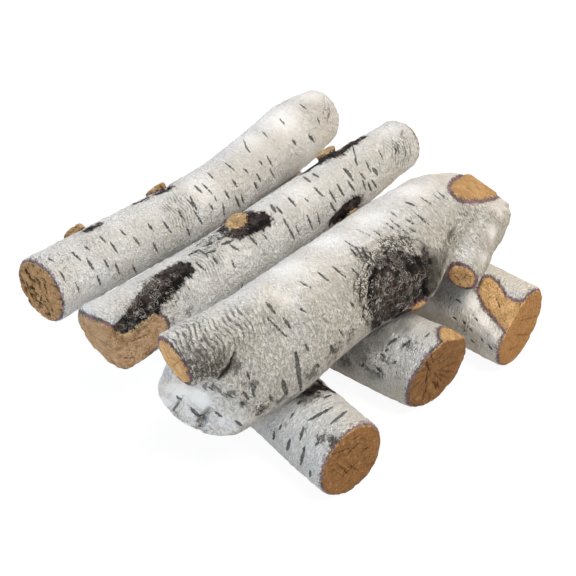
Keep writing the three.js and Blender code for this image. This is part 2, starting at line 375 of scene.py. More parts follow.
sawn_faces = {
    "left_base_log": ends(left, turned(left, -1, -0.05, 0.05)),
    "centre_base_log": ends(centre, turned(centre, -1, 0.18, -0.12)) + [
        cut(centre, near_facet(centre, -22, 64)),
    ],
    "right_base_log": ends(right, turned(right, -1, -0.13, -0.07)),
    "front_forked_log": [
        cut(stub, turned(stub, -1, 0, -0.2), reach=40), cut(arm, turned(arm, -1, 0.2, 0), reach=40),
    ],
    "middle_log": ends(middle, turned(middle, -1, 0, -0.15)) + [
        cut(middle, near_facet(middle, -84, 64)),
        cut(middle, turned(middle, 0, 0.33, 0.95), (-13.7, 56.9, 124.1), KNOT),
        cut(middle, turned(middle, 0, 0.56, 0.83), (115.7, 61, 133.3), KNOT),
        cut(middle, turned(middle, 0, -0.93, -0.37), (95.2, 12.1, 90.5), KNOT),
    ],
    "rear_log": ends(rear, turned(rear, -1, 0, 0)) + [
        cut(rear, turned(rear, 0, 0.87, 0.5), (-113.4, 163.5, 113.6), KNOT),
        cut(rear, turned(rear, 0, 0.77, 0.64), (-23.7, 150.5, 120.6), KNOT),
    ],
}
print("sawn faces:", {name: len(cuts) for name, cuts in sawn_faces.items()})

# %% How far each point is from the edge of a sawn face
ALL_BARK = -60
LIP = 2.6
SAME_WAY = 0.985
SIDEWAYS = 0.4


def gap_to(tree, places):
    return np.array([tree.find_nearest(Vector(place))[3] for place in places])


def is_sawn(name, face):
    """Cuts are stained, and so are the sides of the knots on the rear log."""
    middle_of_face = np.array(face.center) / MM
    for way, near, reach in sawn_faces[name]:
        facing = np.dot(way, face.normal)
        on_post = name == "rear_log" and reach == KNOT and abs(facing) < SIDEWAYS
        if (facing > SAME_WAY or on_post) and np.linalg.norm(middle_of_face - near) < reach:
            return True
    return False


def edge_field(name, places):
    """Millimetres inside a sawn face. The front log's broken bark hangs over its faces as a lip."""
    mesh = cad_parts[name].data
    corners = [v.co / MM for v in mesh.vertices]
    sawn, bark = [], []
    for face in mesh.polygons:
        (sawn if is_sawn(name, face) else bark).append(tuple(face.vertices))
    field = np.full(len(places), float(ALL_BARK))
    sawn_gap = gap_to(surface(corners, sawn), places)
    close = sawn_gap < -ALL_BARK
    bark_gap = gap_to(surface(corners, bark), places[close])
    field[close] = bark_gap - sawn_gap[close]
    return field - (LIP if name == "front_forked_log" else 0)


for name, piece in pieces.items():
    logs[name]["edge"] = edge_field(name, places_of(piece))
    print(name, "has", int((logs[name]["edge"] > 0).sum()), "points on its sawn faces")

# %% [markdown]
# Two stained patches are smaller than the cut they lie on, and the bark hangs over the middle
# log's face, so these edges are drawn as outlines on the picture. They count only on the side
# that the camera sees.

# %% Outlines drawn on the picture
stain_outlines = {
    "middle_log": [
        [
            (224, 225), (226, 219), (232, 216), (240, 214.5), (246, 217), (247, 221), (243, 226),
            (236, 229), (229, 229.5),
        ],
        [(314, 157), (317, 151), (325, 146), (335, 144), (335, 149), (327, 154), (318, 160)],
    ],
    "front_forked_log": [
        [
            (451, 187), (455, 181), (461, 178), (468, 172), (480, 178), (499, 193), (494, 196.5),
            (480, 199), (465, 199), (457, 196),
        ],
        [(411, 309), (417, 304), (423, 300), (426, 303), (421, 309), (414, 312)],
    ],
    "right_base_log": [
        [
            (483, 278), (478, 291), (485, 308), (495, 318), (506, 331), (514, 333), (526, 303),
            (514, 302), (505, 297), (497, 283), (490, 277),
        ],
    ],
}
bark_outlines = {
    "middle_log": [
        [
            (70, 300), (80, 314), (88, 318), (99, 322), (111, 328), (124, 335), (132, 331),
            (139, 326), (148, 319), (155, 312), (161, 306), (172, 304), (184, 309), (190, 290),
            (76, 290),
        ],
        [(247, 206), (258, 206), (258, 236), (240, 236), (245, 229), (248, 222)],
    ],
}
print("outlines:", {name: len(rows) for name, rows in stain_outlines.items()})


# %% Inside and outside an outline
def gap_to_side(x, y, start, end):
    """Pixels from a point of the picture to one side of an outline."""
    (x0, y0), (x1, y1) = start, end
    part = ((x - x0) * (x1 - x0) + (y - y0) * (y1 - y0)) / ((x1 - x0) ** 2 + (y1 - y0) ** 2)
    part = min(max(part, 0), 1)
    return math.hypot(x - x0 - part * (x1 - x0), y - y0 - part * (y1 - y0))


def is_inside(x, y, sides):
    """Whether a line to the right of a point crosses an odd number of an outline's sides."""
    inside = False
    for (x0, y0), (x1, y1) in sides:
        if (y0 > y) != (y1 > y) and x < (x1 - x0) * (y - y0) / (y1 - y0) + x0:
            inside = not inside
    return inside


print("from the side of a square to its middle:", gap_to_side(5, 5, (0, 0), (0, 10)))

# %% Stain and bark inside the outlines
# How far outside an outline a point is still measured, in pixels, and how far behind the skin a
# point may lie and still count as seen, in millimetres.
OUTLINE_REACH = 12
SKIN_DEPTH = 2


def outline_field(name, places, outline):
    """Millimetres inside an outline on the picture, for points that the camera sees near it."""
    points = np.array(outline, float)
    sides = list(zip(points, np.roll(points, -1, axis=0)))
    at = picture_points(places)
    low, high = points.min(0) - OUTLINE_REACH, points.max(0) + OUTLINE_REACH
    field = np.full(len(places), float(ALL_BARK))
    for index in np.flatnonzero(((at > low) & (at < high)).all(1)):
        back = Vector(places[index]) - camera_place
        hit = skins[name].ray_cast(camera_place, back)[3]
        if hit is None or hit < back.length - SKIN_DEPTH:
            continue
        x, y = at[index]
        gap = min(gap_to_side(x, y, *side) for side in sides)
        field[index] = gap * PIXEL if is_inside(x, y, sides) else -gap * PIXEL
    return field


for name, outlines in stain_outlines.items():
    for outline in outlines:
        field = outline_field(name, places_of(pieces[name]), outline)
        logs[name]["edge"] = np.maximum(logs[name]["edge"], field)
        print(name, int((field > 0).sum()), "points in a stained outline")
for name, outlines in bark_outlines.items():
    for outline in outlines:
        field, edge = outline_field(name, places_of(pieces[name]), outline), logs[name]["edge"]
        logs[name]["edge"] = np.where(field > ALL_BARK, np.minimum(edge, -field), edge)
        print(name, int((field > 0).sum()), "points under hanging bark")

# %% [markdown]
# ## Marks read from the picture
# The side that the picture shows has its own marks, and they are placed where the picture has
# them: a line of sight through each end of a dash meets the log, and the dash is laid on the bark
# between the two. Every dash is a short row of points with a half width, tapering to both ends.

# %% Lenticels, as picture points: start x, y, end x, y and width in pixels
lenticels = {
    "rear_log": [
        (48, 257, 53, 261, 2), (60, 271, 66, 282, 2), (76, 282, 80, 293, 2), (72, 251, 81, 260, 2),
        (87, 258, 95, 271, 2.4), (98, 276, 101, 286, 2), (104, 259, 109, 268, 2),
        (115, 262, 120, 275, 2), (111, 242, 119, 254, 2), (148, 223, 154, 231, 2.2),
        (163, 220, 172, 233, 2.2), (133, 236, 141, 246, 2), (153, 242, 159, 254, 2),
        (187, 228, 191, 237, 2), (133, 265, 137, 274, 1.8), (225, 162, 234, 170, 2),
        (208, 172, 214, 179, 2), (195, 185, 202, 192, 3), (202, 183, 212, 193, 2),
        (225, 191, 230, 199, 2.4), (215, 196, 217, 201, 2), (210, 204, 214, 211, 1.8),
        (232, 179, 237, 187, 2), (235, 196, 240, 208, 2.4), (241, 195, 244, 204, 2),
        (255, 183, 259, 191, 2.4), (257, 174, 262, 182, 2), (270, 169, 276, 179, 2),
        (267, 156, 273, 166, 2), (259, 160, 263, 165, 2), (243, 168, 249, 173, 2),
        (293, 140, 297, 145, 3), (309, 135, 315, 142, 3), (300, 103, 307, 108, 2),
        (187, 199, 197, 208, 2), (195, 211, 203, 225, 2), (223, 204, 225, 218, 1.8),
        (84, 245, 90, 250, 1.6), (100, 236, 106, 242, 1.6), (120, 229, 127, 236, 1.6),
        (178, 208, 185, 222, 1.4), (190, 196, 199, 213, 1.4), (240, 132, 248, 150, 1.1),
        (245, 146, 250, 152, 1.6), (262, 130, 268, 137, 1.6), (280, 118, 285, 124, 1.6),
        (318, 118, 321, 126, 2),
    ],
    "middle_log": [
        (230, 244, 240, 251, 2.4), (249, 236, 258, 245, 2.4), (283, 218, 289, 228, 2.2),
        (289, 228, 295, 240, 2), (307, 215, 313, 230, 2.4), (318, 213, 321, 226, 2),
        (314, 187, 323, 196, 2.4), (329, 190, 337, 202, 2.2), (337, 184, 345, 197, 2.4),
        (345, 168, 354, 181, 3), (348, 181, 356, 192, 2.4), (305, 198, 309, 202, 1.8),
        (303, 176, 311, 182, 3), (312, 173, 319, 177, 2.4), (271, 204, 276, 212, 3.4),
        (277, 206, 283, 214, 2.6), (288, 197, 296, 206, 2.6), (196, 262, 206, 270, 2.6),
        (200, 250, 208, 256, 2), (213, 256, 219, 264, 2), (232, 260, 236, 268, 1.8),
        (262, 232, 268, 240, 1.8), (360, 171, 366, 180, 2), (366, 160, 372, 172, 2),
        (353, 196, 358, 203, 1.8), (372, 180, 377, 188, 2), (379, 150, 384, 160, 1.8),
        (296, 226, 300, 236, 1.8), (189, 254, 200, 249, 3), (203, 246, 214, 241, 4),
        (217, 239, 226, 236, 4), (206, 253, 216, 250, 3), (222, 244, 233, 240, 3),
        (195, 246, 201, 243, 2.4), (344, 168, 352, 176, 4), (331, 203, 336, 212, 3),
        (352, 144, 357, 160, 1.2), (363, 180, 366, 190, 2.4), (368, 182, 372, 192, 2.4),
        (374, 168, 378, 175, 4), (355, 158, 358, 165, 2),
    ],
    "front_forked_log": [
        (296, 352, 301, 391, 4.4), (283, 380, 289, 404, 4.4), (331, 346, 336, 354, 3.4),
        (317, 364, 320, 368, 2.6), (190, 408, 201, 418, 4), (236, 421, 242, 426, 4),
        (262, 408, 265, 423, 5), (215, 412, 222, 417, 3.4), (373, 230, 384, 236, 1.6),
        (390, 219, 404, 230, 1.6), (406, 226, 418, 233, 1.4), (378, 244, 392, 249, 1.4),
        (344, 240, 356, 247, 1.4), (356, 228, 370, 235, 1.2), (252, 384, 255, 391, 4),
        (227, 394, 232, 398, 3.4), (241, 403, 244, 406, 3), (209, 388, 214, 391, 2.4),
        (404, 201, 418, 206, 1.8), (419, 196, 432, 204, 1.8), (433, 193, 442, 200, 1.6),
        (437, 191, 448, 199, 1.6), (411, 209, 429, 224, 1.8), (404, 217, 416, 225, 1.8),
        (350, 246, 357, 257, 2), (356, 245, 363, 258, 2.4), (362, 246, 368, 260, 2),
        (369, 250, 373, 259, 1.8), (332, 265, 347, 277, 2.4), (318, 272, 331, 282, 2),
        (298, 280, 312, 288, 1.6), (352, 268, 360, 274, 1.6), (284, 318, 291, 328, 2.6),
        (266, 301, 276, 314, 2.6), (268, 318, 288, 338, 1.6), (306, 345, 309, 351, 2.2),
        (351, 302, 356, 308, 2), (385, 222, 394, 229, 1.4), (243, 392, 249, 400, 3),
        (176, 396, 181, 402, 2.2), (247, 372, 250, 380, 1.8), (372, 321, 376, 326, 2.4),
        (390, 211, 399, 217, 1.4), (300, 308, 307, 313, 1.4), (322, 318, 329, 323, 1.4),
        (340, 330, 344, 336, 1.8), (252, 388, 255, 398, 2), (270, 396, 273, 402, 2.4),
    ],
    "left_base_log": [
        (308, 420, 333, 406, 3.4), (331, 423, 347, 410, 3.2), (299, 440, 302, 427, 3.4),
        (286, 451, 289, 439, 3.4), (299, 466, 304, 446, 3.4), (308, 481, 310, 471, 2.8),
        (314, 446, 318, 441, 2), (330, 447, 337, 441, 2), (272, 441, 273, 432, 2.6),
        (297, 404, 302, 400, 2), (324, 397, 331, 394, 2), (278, 430, 281, 424, 2.2),
        (301, 392, 314, 388, 4), (313, 398, 320, 395, 2.4), (290, 418, 293, 412, 2),
    ],
    "centre_base_log": [
        (400, 347, 411, 339, 2.6), (387, 345, 399, 336, 2.4), (385, 351, 388, 349, 2),
        (424, 337, 430, 333, 1.6), (376, 368, 380, 372, 3), (361, 367, 364, 363, 2),
        (392, 364, 396, 361, 2), (380, 354, 384, 357, 1.8),
    ],
    "right_base_log": [
        (462, 321, 465, 325, 2.2), (468, 328, 471, 332, 2), (474, 318, 477, 321, 1.6),
        (452, 317, 456, 320, 2), (488, 345, 492, 350, 2.4), (480, 338, 483, 342, 2),
        (456, 299, 461, 303, 1.8), (470, 340, 474, 344, 2),
    ],
}
print("dashes read from the picture:", sum(len(rows) for rows in lenticels.values()))

# %% [markdown]
# Real end grain dries and splits, and the maker cast those cracks too. The stain runs into them
# and dries dark. They are read in the same way as the dashes.

# %% Cracks in the sawn faces: start x, y, end x, y and width in pixels
cracks = {
    "left_base_log": [
        (330, 455, 352, 447, 1.4), (334, 462, 349, 474, 1.2), (345, 455, 362, 440, 1.4),
        (339, 480, 356, 462, 1.2), (328, 472, 338, 468, 1.2), (352, 440, 360, 434, 1.6),
        (346, 462, 357, 470, 1.2), (362, 452, 369, 446, 1.4),
    ],
    "centre_base_log": [
        (431, 373, 418, 388, 1.4), (433, 372, 448, 388, 1.2), (434, 366, 450, 356, 1.3),
        (430, 366, 420, 352, 1.3), (436, 370, 455, 372, 1.1), (428, 376, 424, 398, 1.2),
        (440, 352, 446, 346, 1.2), (426, 369, 411, 374, 1.2), (436, 378, 440, 396, 1.1),
        (423, 360, 414, 364, 1.1), (424, 360, 430, 372, 2.4), (427, 372, 425, 384, 2.8),
        (432, 362, 437, 357, 2), (420, 380, 410, 390, 1.6), (416, 372, 406, 376, 1.4),
        (431, 380, 443, 392, 1.6), (424, 388, 422, 402, 1.6), (436, 360, 445, 350, 1.6),
        (441, 368, 455, 362, 1.3), (418, 364, 409, 360, 1.4), (430, 350, 432, 360, 1.8),
        (434, 384, 436, 390, 2), (428, 392, 431, 404, 1.4), (438, 374, 448, 378, 1.4),
    ],
    "right_base_log": [
        (512, 305, 533, 297, 1.1), (516, 322, 536, 316, 1.1), (511, 335, 530, 334, 1.1),
        (518, 345, 505, 352, 1.2), (495, 296, 501, 310, 1.2), (524, 290, 519, 308, 1),
    ],
    "front_forked_log": [
        (164, 350, 172, 362, 1.2), (172, 366, 181, 360, 1), (462, 185, 472, 192, 1.1),
        (474, 184, 480, 192, 1.1), (461, 280, 468, 274, 1.2), (461, 281, 454, 275, 1.2),
        (460, 283, 459, 289, 1.2), (465, 283, 470, 286, 1),
    ],
    "middle_log": [
        (96, 336, 118, 351, 1.2), (112, 357, 138, 358, 1.1), (130, 342, 152, 332, 1),
        (160, 318, 172, 312, 1),
    ],
    "rear_log": [
        (28, 285, 37, 293, 2), (34, 276, 42, 284, 2), (36, 300, 46, 306, 1.8),
        (27, 297, 33, 306, 1.6), (41, 290, 49, 300, 1.4), (26, 280, 29, 290, 2.4),
        (30, 292, 34, 299, 2.6), (38, 300, 43, 308, 2.4), (44, 283, 47, 292, 2),
        (24, 270, 30, 276, 2), (46, 306, 50, 312, 2), (36, 310, 42, 316, 2), (33, 283, 30, 291, 2),
        (42, 295, 40, 303, 2),
    ],
}
print("cracks:", sum(len(rows) for rows in cracks.values()))

# %% [markdown]
# Birch bark swells and turns black round a knot. The maker brushed those places nearly black, and
# blacker still along some lines. Two of the patches on the left base log are a painted shadow under
# the front log, and the blackest lines on the burl follow its lower rim as painted shade. Each is a
# line along the patch with half its width.

# %% Dark bark and its blackest lines, some of them painted shade: a line of picture points and half a width in pixels
dark_bark_and_shade = {
    "middle_log": [
        ([(182, 268), (174, 275), (164, 284), (154, 296), (145, 308), (136, 320), (127, 333)], 13),
        ([(142, 314), (132, 322), (122, 330)], 11), ([(246, 222), (254, 221), (262, 219)], 12.5),
        ([(222, 228), (230, 232), (240, 234), (250, 231)], 5.5),
        ([(304, 172), (312, 166), (320, 162), (330, 158), (340, 151)], 6.5),
        ([(340, 151), (350, 144), (362, 137)], 6), ([(334, 221), (346, 211), (358, 203)], 9),
    ],
    "front_forked_log": [
        ([(401, 283), (403, 294)], 23), ([(388, 302), (394, 313)], 15),
        ([(413, 275), (415, 292)], 15), ([(391, 266), (404, 262)], 12),
        ([(417, 262), (421, 278), (418, 298)], 9), ([(424, 258), (428, 274), (425, 292)], 4),
        ([(425, 284), (427, 297)], 5), ([(424, 250), (431, 262)], 3),
        ([(374, 324), (386, 329), (400, 321), (412, 311)], 6),
        ([(380, 264), (374, 283), (373, 300), (378, 318)], 5),
        ([(384, 268), (380, 290), (382, 310)], 4),
    ],
    "rear_log": [
        ([(86, 230), (98, 224)], 5), ([(136, 203), (146, 198)], 4), ([(157, 193), (169, 187)], 5),
    ],
    # A painted shadow of the front log's near end on the left base log.
    "left_base_log": [([(309, 392), (318, 386), (328, 389)], 5), ([(318, 380), (331, 390)], 4)],
}
black_cores = {
    "middle_log": [
        ([(188, 275), (178, 287), (166, 299), (153, 313), (141, 327)], 6),
        ([(248, 230), (257, 227), (265, 221)], 3.5), ([(316, 173), (334, 164), (348, 153)], 3.5),
        ([(337, 222), (348, 213)], 4),
    ],
    # Along the burl's lower rim: painted shade of its dome.
    "front_forked_log": [
        ([(376, 266), (371, 283), (370, 302), (375, 317), (388, 326)], 4),
        ([(424, 281), (427, 297)], 3.5), ([(410, 305), (400, 315), (388, 324)], 4),
        ([(396, 255), (412, 257), (424, 266)], 2.5),
    ],
}
print("dark patches:", {name: len(rows) for name, rows in dark_bark_and_shade.items()})

# %% [markdown]
# The white paint isn't even. Dry brushing leaves it thin on some places, where grit and the grey
# body show, and the maker dabbed it on thick at others, where it is smooth and bright. On the right
# base log those bright patches are also painted light, where it lies in the front log's shade.

# %% Thin paint, and thick paint with painted light: picture x, y, radius in pixels and strength
thin_paint = {
    "rear_log": [
        (40, 258, 16, 0.7), (62, 262, 14, 0.7), (85, 240, 14, 0.5), (110, 236, 12, 0.4),
        (250, 195, 18, 0.3), (50, 300, 12, 0.7), (325, 110, 14, 0.4), (295, 140, 14, 0.5),
        (170, 186, 12, 0.7), (100, 226, 10, 0.7),
    ],
    "middle_log": [
        (100, 318, 18, 0.6), (118, 305, 18, 0.6), (145, 282, 14, 0.8), (205, 240, 22, 0.8),
        (186, 290, 14, 0.7), (178, 300, 10, 0.8), (405, 150, 20, 0.6), (350, 165, 16, 0.6),
        (197, 252, 16, 1), (230, 228, 22, 0.6),
    ],
    "front_forked_log": [
        (185, 325, 24, 0.9), (200, 350, 26, 1), (212, 370, 20, 1.3), (240, 310, 20, 0.6),
        (192, 372, 12, 1.4), (372, 262, 24, 0.9), (366, 300, 22, 0.8), (400, 245, 24, 1),
        (360, 255, 12, 1.2), (392, 238, 14, 0.8), (455, 235, 18, 0.7), (466, 222, 20, 0.7),
        (446, 252, 14, 0.9), (480, 228, 22, 0.6), (440, 275, 14, 1.2), (232, 405, 22, 0.3),
        (262, 400, 20, 0.3), (250, 372, 14, 0.6), (470, 214, 22, 0.9), (489, 213, 16, 0.9),
        (478, 242, 18, 0.7), (492, 250, 14, 0.6), (500, 226, 12, 0.7), (345, 285, 24, 0.4),
        (415, 225, 14, 0.4),
    ],
    "left_base_log": [
        (330, 440, 16, 0.5), (315, 395, 18, 0.9), (275, 430, 12, 0.4), (345, 405, 14, 0.4),
    ],
    "centre_base_log": [
        (415, 345, 18, 0.9), (395, 370, 18, 0.8), (370, 350, 20, 0.8), (440, 332, 10, 0.9),
    ],
    "right_base_log": [
        (464, 330, 9, 0.9), (500, 350, 12, 0.9), (450, 300, 16, 0.8), (488, 350, 8, 0.7),
        (448, 310, 12, 0.9),
    ],
}
thick_paint_and_light = {
    "front_forked_log": [
        (178, 392, 20, 1), (198, 398, 18, 1), (165, 402, 14, 0.9), (188, 412, 14, 0.7),
        (222, 420, 18, 0.6), (246, 420, 18, 0.5), (236, 400, 14, 0.4), (262, 404, 14, 0.4),
        (290, 268, 30, 0.6), (325, 240, 30, 0.6), (365, 218, 26, 0.6), (410, 190, 26, 0.6),
        (285, 300, 18, 0.5), (492, 232, 13, 0.7), (500, 212, 10, 0.6), (484, 258, 11, 0.6),
    ],
    "middle_log": [
        (300, 190, 30, 0.5), (390, 130, 24, 0.5), (372, 172, 18, 0.5), (104, 322, 12, 0.5),
        (230, 262, 20, 0.4),
    ],
    "rear_log": [
        (200, 190, 40, 0.5), (280, 120, 40, 0.7), (120, 235, 30, 0.3), (250, 140, 30, 0.6),
        (310, 95, 24, 0.6),
    ],
    # On the right base log these bright patches are painted light where the front log shades it.
    "right_base_log": [
        (481, 322, 16, 1), (470, 302, 16, 1), (494, 338, 10, 0.7), (430, 305, 12, 1),
        (450, 312, 14, 0.8),
    ],
}
print("thin patches:", {name: len(rows) for name, rows in thin_paint.items()})

# %% [markdown]
# Two kinds of relief lie in patches: fine ribs that run round the log, as where bark is stretched
# at a fork, and crumpled bark, as where it is squeezed round the burl.

# %% Ribs and crumpled bark: picture x, y, radius in pixels and strength
ribs = {
    "rear_log": [
        (182, 208, 22, 1.3), (310, 112, 26, 0.5), (270, 130, 20, 0.5), (120, 240, 16, 0.4),
    ],
    "middle_log": [
        (400, 150, 24, 1), (375, 165, 18, 0.6), (210, 262, 26, 0.8), (260, 240, 20, 0.5),
    ],
    "front_forked_log": [
        (180, 345, 24, 1.2), (205, 340, 30, 1.2), (235, 325, 26, 1), (262, 325, 22, 0.6),
        (210, 372, 22, 1.1), (415, 212, 30, 0.45), (372, 232, 24, 0.35), (366, 285, 22, 0.4),
        (440, 200, 18, 0.45),
    ],
    "left_base_log": [(320, 420, 20, 0.4)],
    "centre_base_log": [(400, 350, 20, 0.4)],
    "right_base_log": [(470, 320, 20, 0.3)],
}
crumpled = {
    "front_forked_log": [
        (368, 285, 17, 1), (376, 262, 14, 1), (390, 248, 14, 1), (372, 308, 14, 1),
        (408, 244, 12, 0.8), (385, 322, 10, 0.8), (400, 285, 26, 0.7), (195, 372, 12, 0.7),
        (212, 378, 12, 0.7), (262, 408, 12, 0.8), (452, 238, 10, 0.5), (236, 398, 12, 0.6),
        (172, 410, 8, 0.4),
    ],
    "middle_log": [(160, 292, 22, 0.6), (140, 312, 18, 0.6), (215, 236, 16, 0.6)],
    "left_base_log": [(319, 438, 6, 1), (331, 441, 7, 1), (347, 436, 5, 0.5), (304, 430, 6, 0.5)],
    "rear_log": [
        (30, 262, 10, 0.4), (326, 112, 12, 0.5), (312, 136, 9, 0.55), (60, 252, 14, 0.35),
        (92, 244, 12, 0.35),
    ],
}
print("ribbed patches:", {name: len(rows) for name, rows in ribs.items()})

# %% [markdown]
# Last come two grey layers. Grime is a spatter of grey specks that sits in the texture, partly
# dirt and partly painted shade in creases and under the front log. The painted shade is a smooth
# grey, a painted shadow on the logs that lie under others, and nearly black where the arm leaves
# the burl.

# %% Grime and painted shade: picture x, y, radius in pixels and strength
# Grime is partly painted shade: in the crease under the stub, along the front log's lower side and
# on the base logs under it.
grime = {
    "front_forked_log": [
        (200, 366, 15, 1), (184, 372, 13, 1), (218, 360, 14, 0.9), (190, 352, 13, 0.55),
        (230, 368, 11, 1.3), (182, 340, 12, 0.35), (228, 395, 9, 0.95), (216, 388, 8, 0.9),
        (243, 405, 7, 0.9), (262, 412, 8, 0.9), (251, 382, 8, 0.95), (206, 388, 7, 0.6),
        (282, 400, 9, 0.8), (199, 420, 6, 0.9), (335, 352, 15, 0.85), (352, 336, 13, 0.7),
        (312, 374, 14, 0.75), (292, 398, 13, 0.65), (370, 322, 12, 0.7), (442, 262, 9, 1.1),
        (440, 278, 8, 1.1), (446, 250, 8, 0.8), (366, 262, 18, 0.3), (362, 298, 16, 0.35),
        (440, 250, 10, 0.6), (436, 288, 9, 1), (430, 270, 11, 0.9), (428, 288, 11, 0.9),
        (424, 256, 9, 0.9),
    ],
    "middle_log": [
        (210, 246, 20, 0.55), (232, 236, 12, 0.6), (172, 322, 9, 0.7), (190, 312, 10, 0.6),
        (196, 262, 12, 0.4), (368, 178, 14, 0.2),
    ],
    "rear_log": [(48, 262, 20, 0.2)],
    "left_base_log": [
        (306, 396, 10, 0.9), (285, 420, 12, 0.4), (322, 394, 8, 0.6), (319, 438, 6, 1),
        (332, 441, 7, 1),
    ],
    "centre_base_log": [
        (366, 368, 12, 0.7), (385, 358, 12, 0.6), (378, 372, 9, 0.9), (345, 360, 10, 0.8),
        (406, 344, 9, 0.7),
    ],
    "right_base_log": [(436, 300, 16, 0.4)],
}
# A smooth painted shadow on the logs under others, nearly black where the arm leaves the burl.
soot = {
    "front_forked_log": [
        (434, 262, 11, 1.8), (435, 274, 12, 2.2), (432, 288, 12, 2.2), (426, 250, 9, 1),
        (444, 262, 9, 1.1), (441, 272, 9, 1.6), (420, 300, 10, 1.5), (190, 372, 16, 0.5),
    ],
    "middle_log": [(122, 326, 14, 0.6), (188, 304, 12, 0.35)],
    "left_base_log": [(303, 398, 12, 0.7), (270, 430, 14, 0.3)],
    "centre_base_log": [
        (380, 338, 17, 1), (360, 352, 16, 1), (402, 328, 12, 0.9), (345, 364, 14, 0.9),
        (372, 375, 14, 0.6),
    ],
    "right_base_log": [(434, 292, 9, 0.6)],
}
print("grimy patches:", {name: len(rows) for name, rows in grime.items()})

# %% [markdown]
# The deepest forms are drawn one by one: the folds round the burl, the furrows in the flared end,
# and the wrinkles at the far ends. Where bark swells round a knot it is raised instead of cut.

# %% Grooves, as picture points, with a width in pixels, a depth in millimetres and a share of painted shade
grooves = {
    "front_forked_log": [
        ([(210, 409), (203, 419), (199, 430)], 5, 5, 0.5), ([(199, 428), (198, 434)], 4, 4, 0.8),
        ([(179, 404), (170, 415)], 2, 2.2, 0.9), ([(184, 396), (176, 406)], 1.8, 1.6, 0.6),
        ([(176, 389), (163, 402)], 1.6, 1.4, 0.5),
        ([(188, 388), (204, 387), (219, 380)], 4, 2, 0.3),
        ([(219, 380), (230, 369), (236, 354)], 5, 2.6, 1.2),
        ([(380, 262), (371, 280), (370, 300), (376, 318)], 2.2, 1.6, 1.2),
        ([(373, 258), (363, 280), (362, 304)], 2, 1.4, 1),
        ([(366, 262), (356, 283), (355, 300)], 1.8, 1.1, 0.7),
        ([(384, 254), (392, 247), (404, 245)], 2, 1.4, 1),
        ([(378, 252), (388, 242), (402, 239)], 1.6, 1, 0.8),
        ([(368, 300), (364, 316), (370, 326)], 2, 1.4, 1.1),
        ([(405, 238), (420, 240), (430, 250)], 2, 1.3, 0.8), ([(424, 283), (427, 297)], 4, 5, 1.4),
        ([(405, 312), (412, 305), (423, 296)], 2, 2, 1.4),
        ([(460, 221), (450, 238), (441, 260)], 5, 1.6, 0.5),
        ([(392, 276), (398, 268), (408, 268), (414, 276), (412, 286), (402, 290)], 2, 1.4, 1),
        ([(386, 284), (390, 298), (400, 302), (412, 298)], 2, 1.4, 1),
        ([(430, 262), (434, 276), (428, 290)], 3, 2.4, 0.8),
        ([(445, 262), (440, 275), (438, 288)], 3, 1.6, 0.6),
    ],
    "middle_log": [
        ([(221, 229), (226, 235), (238, 237), (252, 233)], 3, 1.2, 1),
        ([(128, 322), (150, 300)], 3, 1.2, 1), ([(403, 128), (402, 134), (407, 138)], 3, 2.6, 0.7),
        ([(397, 142), (400, 152), (399, 165)], 2, 1.5, 1.1),
        ([(404, 141), (407, 152), (404, 167)], 2, 1.5, 1.1),
        ([(411, 144), (412, 156), (408, 168)], 2, 1.5, 0.9),
        ([(389, 128), (393, 141), (393, 156), (388, 172)], 1.6, 1, 0.6),
        ([(379, 126), (384, 138), (385, 154), (380, 172)], 1.6, 0.9, 0.5),
        ([(372, 132), (376, 143), (376, 158), (371, 176)], 1.6, 0.9, 0.4),
        ([(395, 146), (397, 150), (396, 154)], 3, 1, 1.1),
    ],
    "rear_log": [
        ([(322, 92), (326, 104), (324, 118)], 2, 1, 0.5),
        ([(328, 100), (331, 112), (328, 124)], 2, 1.2, 0.6),
    ],
}
# Swollen bark: picture x, y, a radius in pixels and a height in millimetres.
mounds = {
    "middle_log": [(330, 159, 9, 4), (237, 228, 9, 2.5)],
    "front_forked_log": [(398, 288, 22, 3)],
}
print("grooves:", {name: len(rows) for name, rows in grooves.items()})

# %% [markdown]
# ## Laying the marks on the logs
# A line drawn on the picture is cut into short steps, and a line of sight through each step finds
# its place on the log. What the bark and the paint then need is a distance: how far each point of
# the log is from the edge of the nearest line, counted below nothing inside it.

# %% From picture points to lines on a log
STROKE_STEPS = 4


def laid_line(name, points, half_width):
    """A row of places on a log under a line of picture points."""
    row = []
    for (x0, y0), (x1, y1) in zip(points, points[1:]):
        for share in np.linspace(0, 1, STROKE_STEPS):
            place = seen(name, x0 + (x1 - x0) * share, y0 + (y1 - y0) * share)
            if place is not None:
                row.append(np.array(place))
    return np.array(row), half_width * PIXEL


def laid_lines(name, rows):
    """Rows of picture points with half a width in pixels, laid on a log."""
    return [laid_line(name, points, half_width) for points, half_width in rows]


def drawn_lines(name, rows):
    """Rows of start x, y, end x, y and width, laid on a log."""
    return laid_lines(name, [([row[0:2], row[2:4]], row[4] / 2) for row in rows])


drawn = {name: drawn_lines(name, rows) for name, rows in lenticels.items()}
print("dashes laid on the logs:", {name: len(rows) for name, rows in drawn.items()})


# %% How far each point is from a line
def line_field(places, lines, reach, blunt):
    """Millimetres from each place to the nearest line's edge, below nothing inside it.

    A line narrows towards its ends, where it keeps the share `blunt` of its width.
    """
    field = np.full(len(places), float(reach))
    for row, half_width in lines:
        low, high = row.min(0) - reach - half_width, row.max(0) + reach + half_width
        near = np.flatnonzero(((places > low) & (places < high)).all(1))
        best = np.full(len(near), float(reach))
        for index, (start, end) in enumerate(zip(row, row[1:])):
            way = end - start
            length = max(np.linalg.norm(way), 1e-6)
            part = np.clip((places[near] - start) @ way / length**2, 0, 1)
            gap = np.linalg.norm(places[near] - start - part[:, None] * way, axis=1)
            whole = (index + part) / (len(row) - 1)
            taper = blunt + (1 - blunt) * np.sin(math.pi * whole)
            best = np.minimum(best, gap - half_width * taper)
        field[near] = np.minimum(field[near], best)
    return field


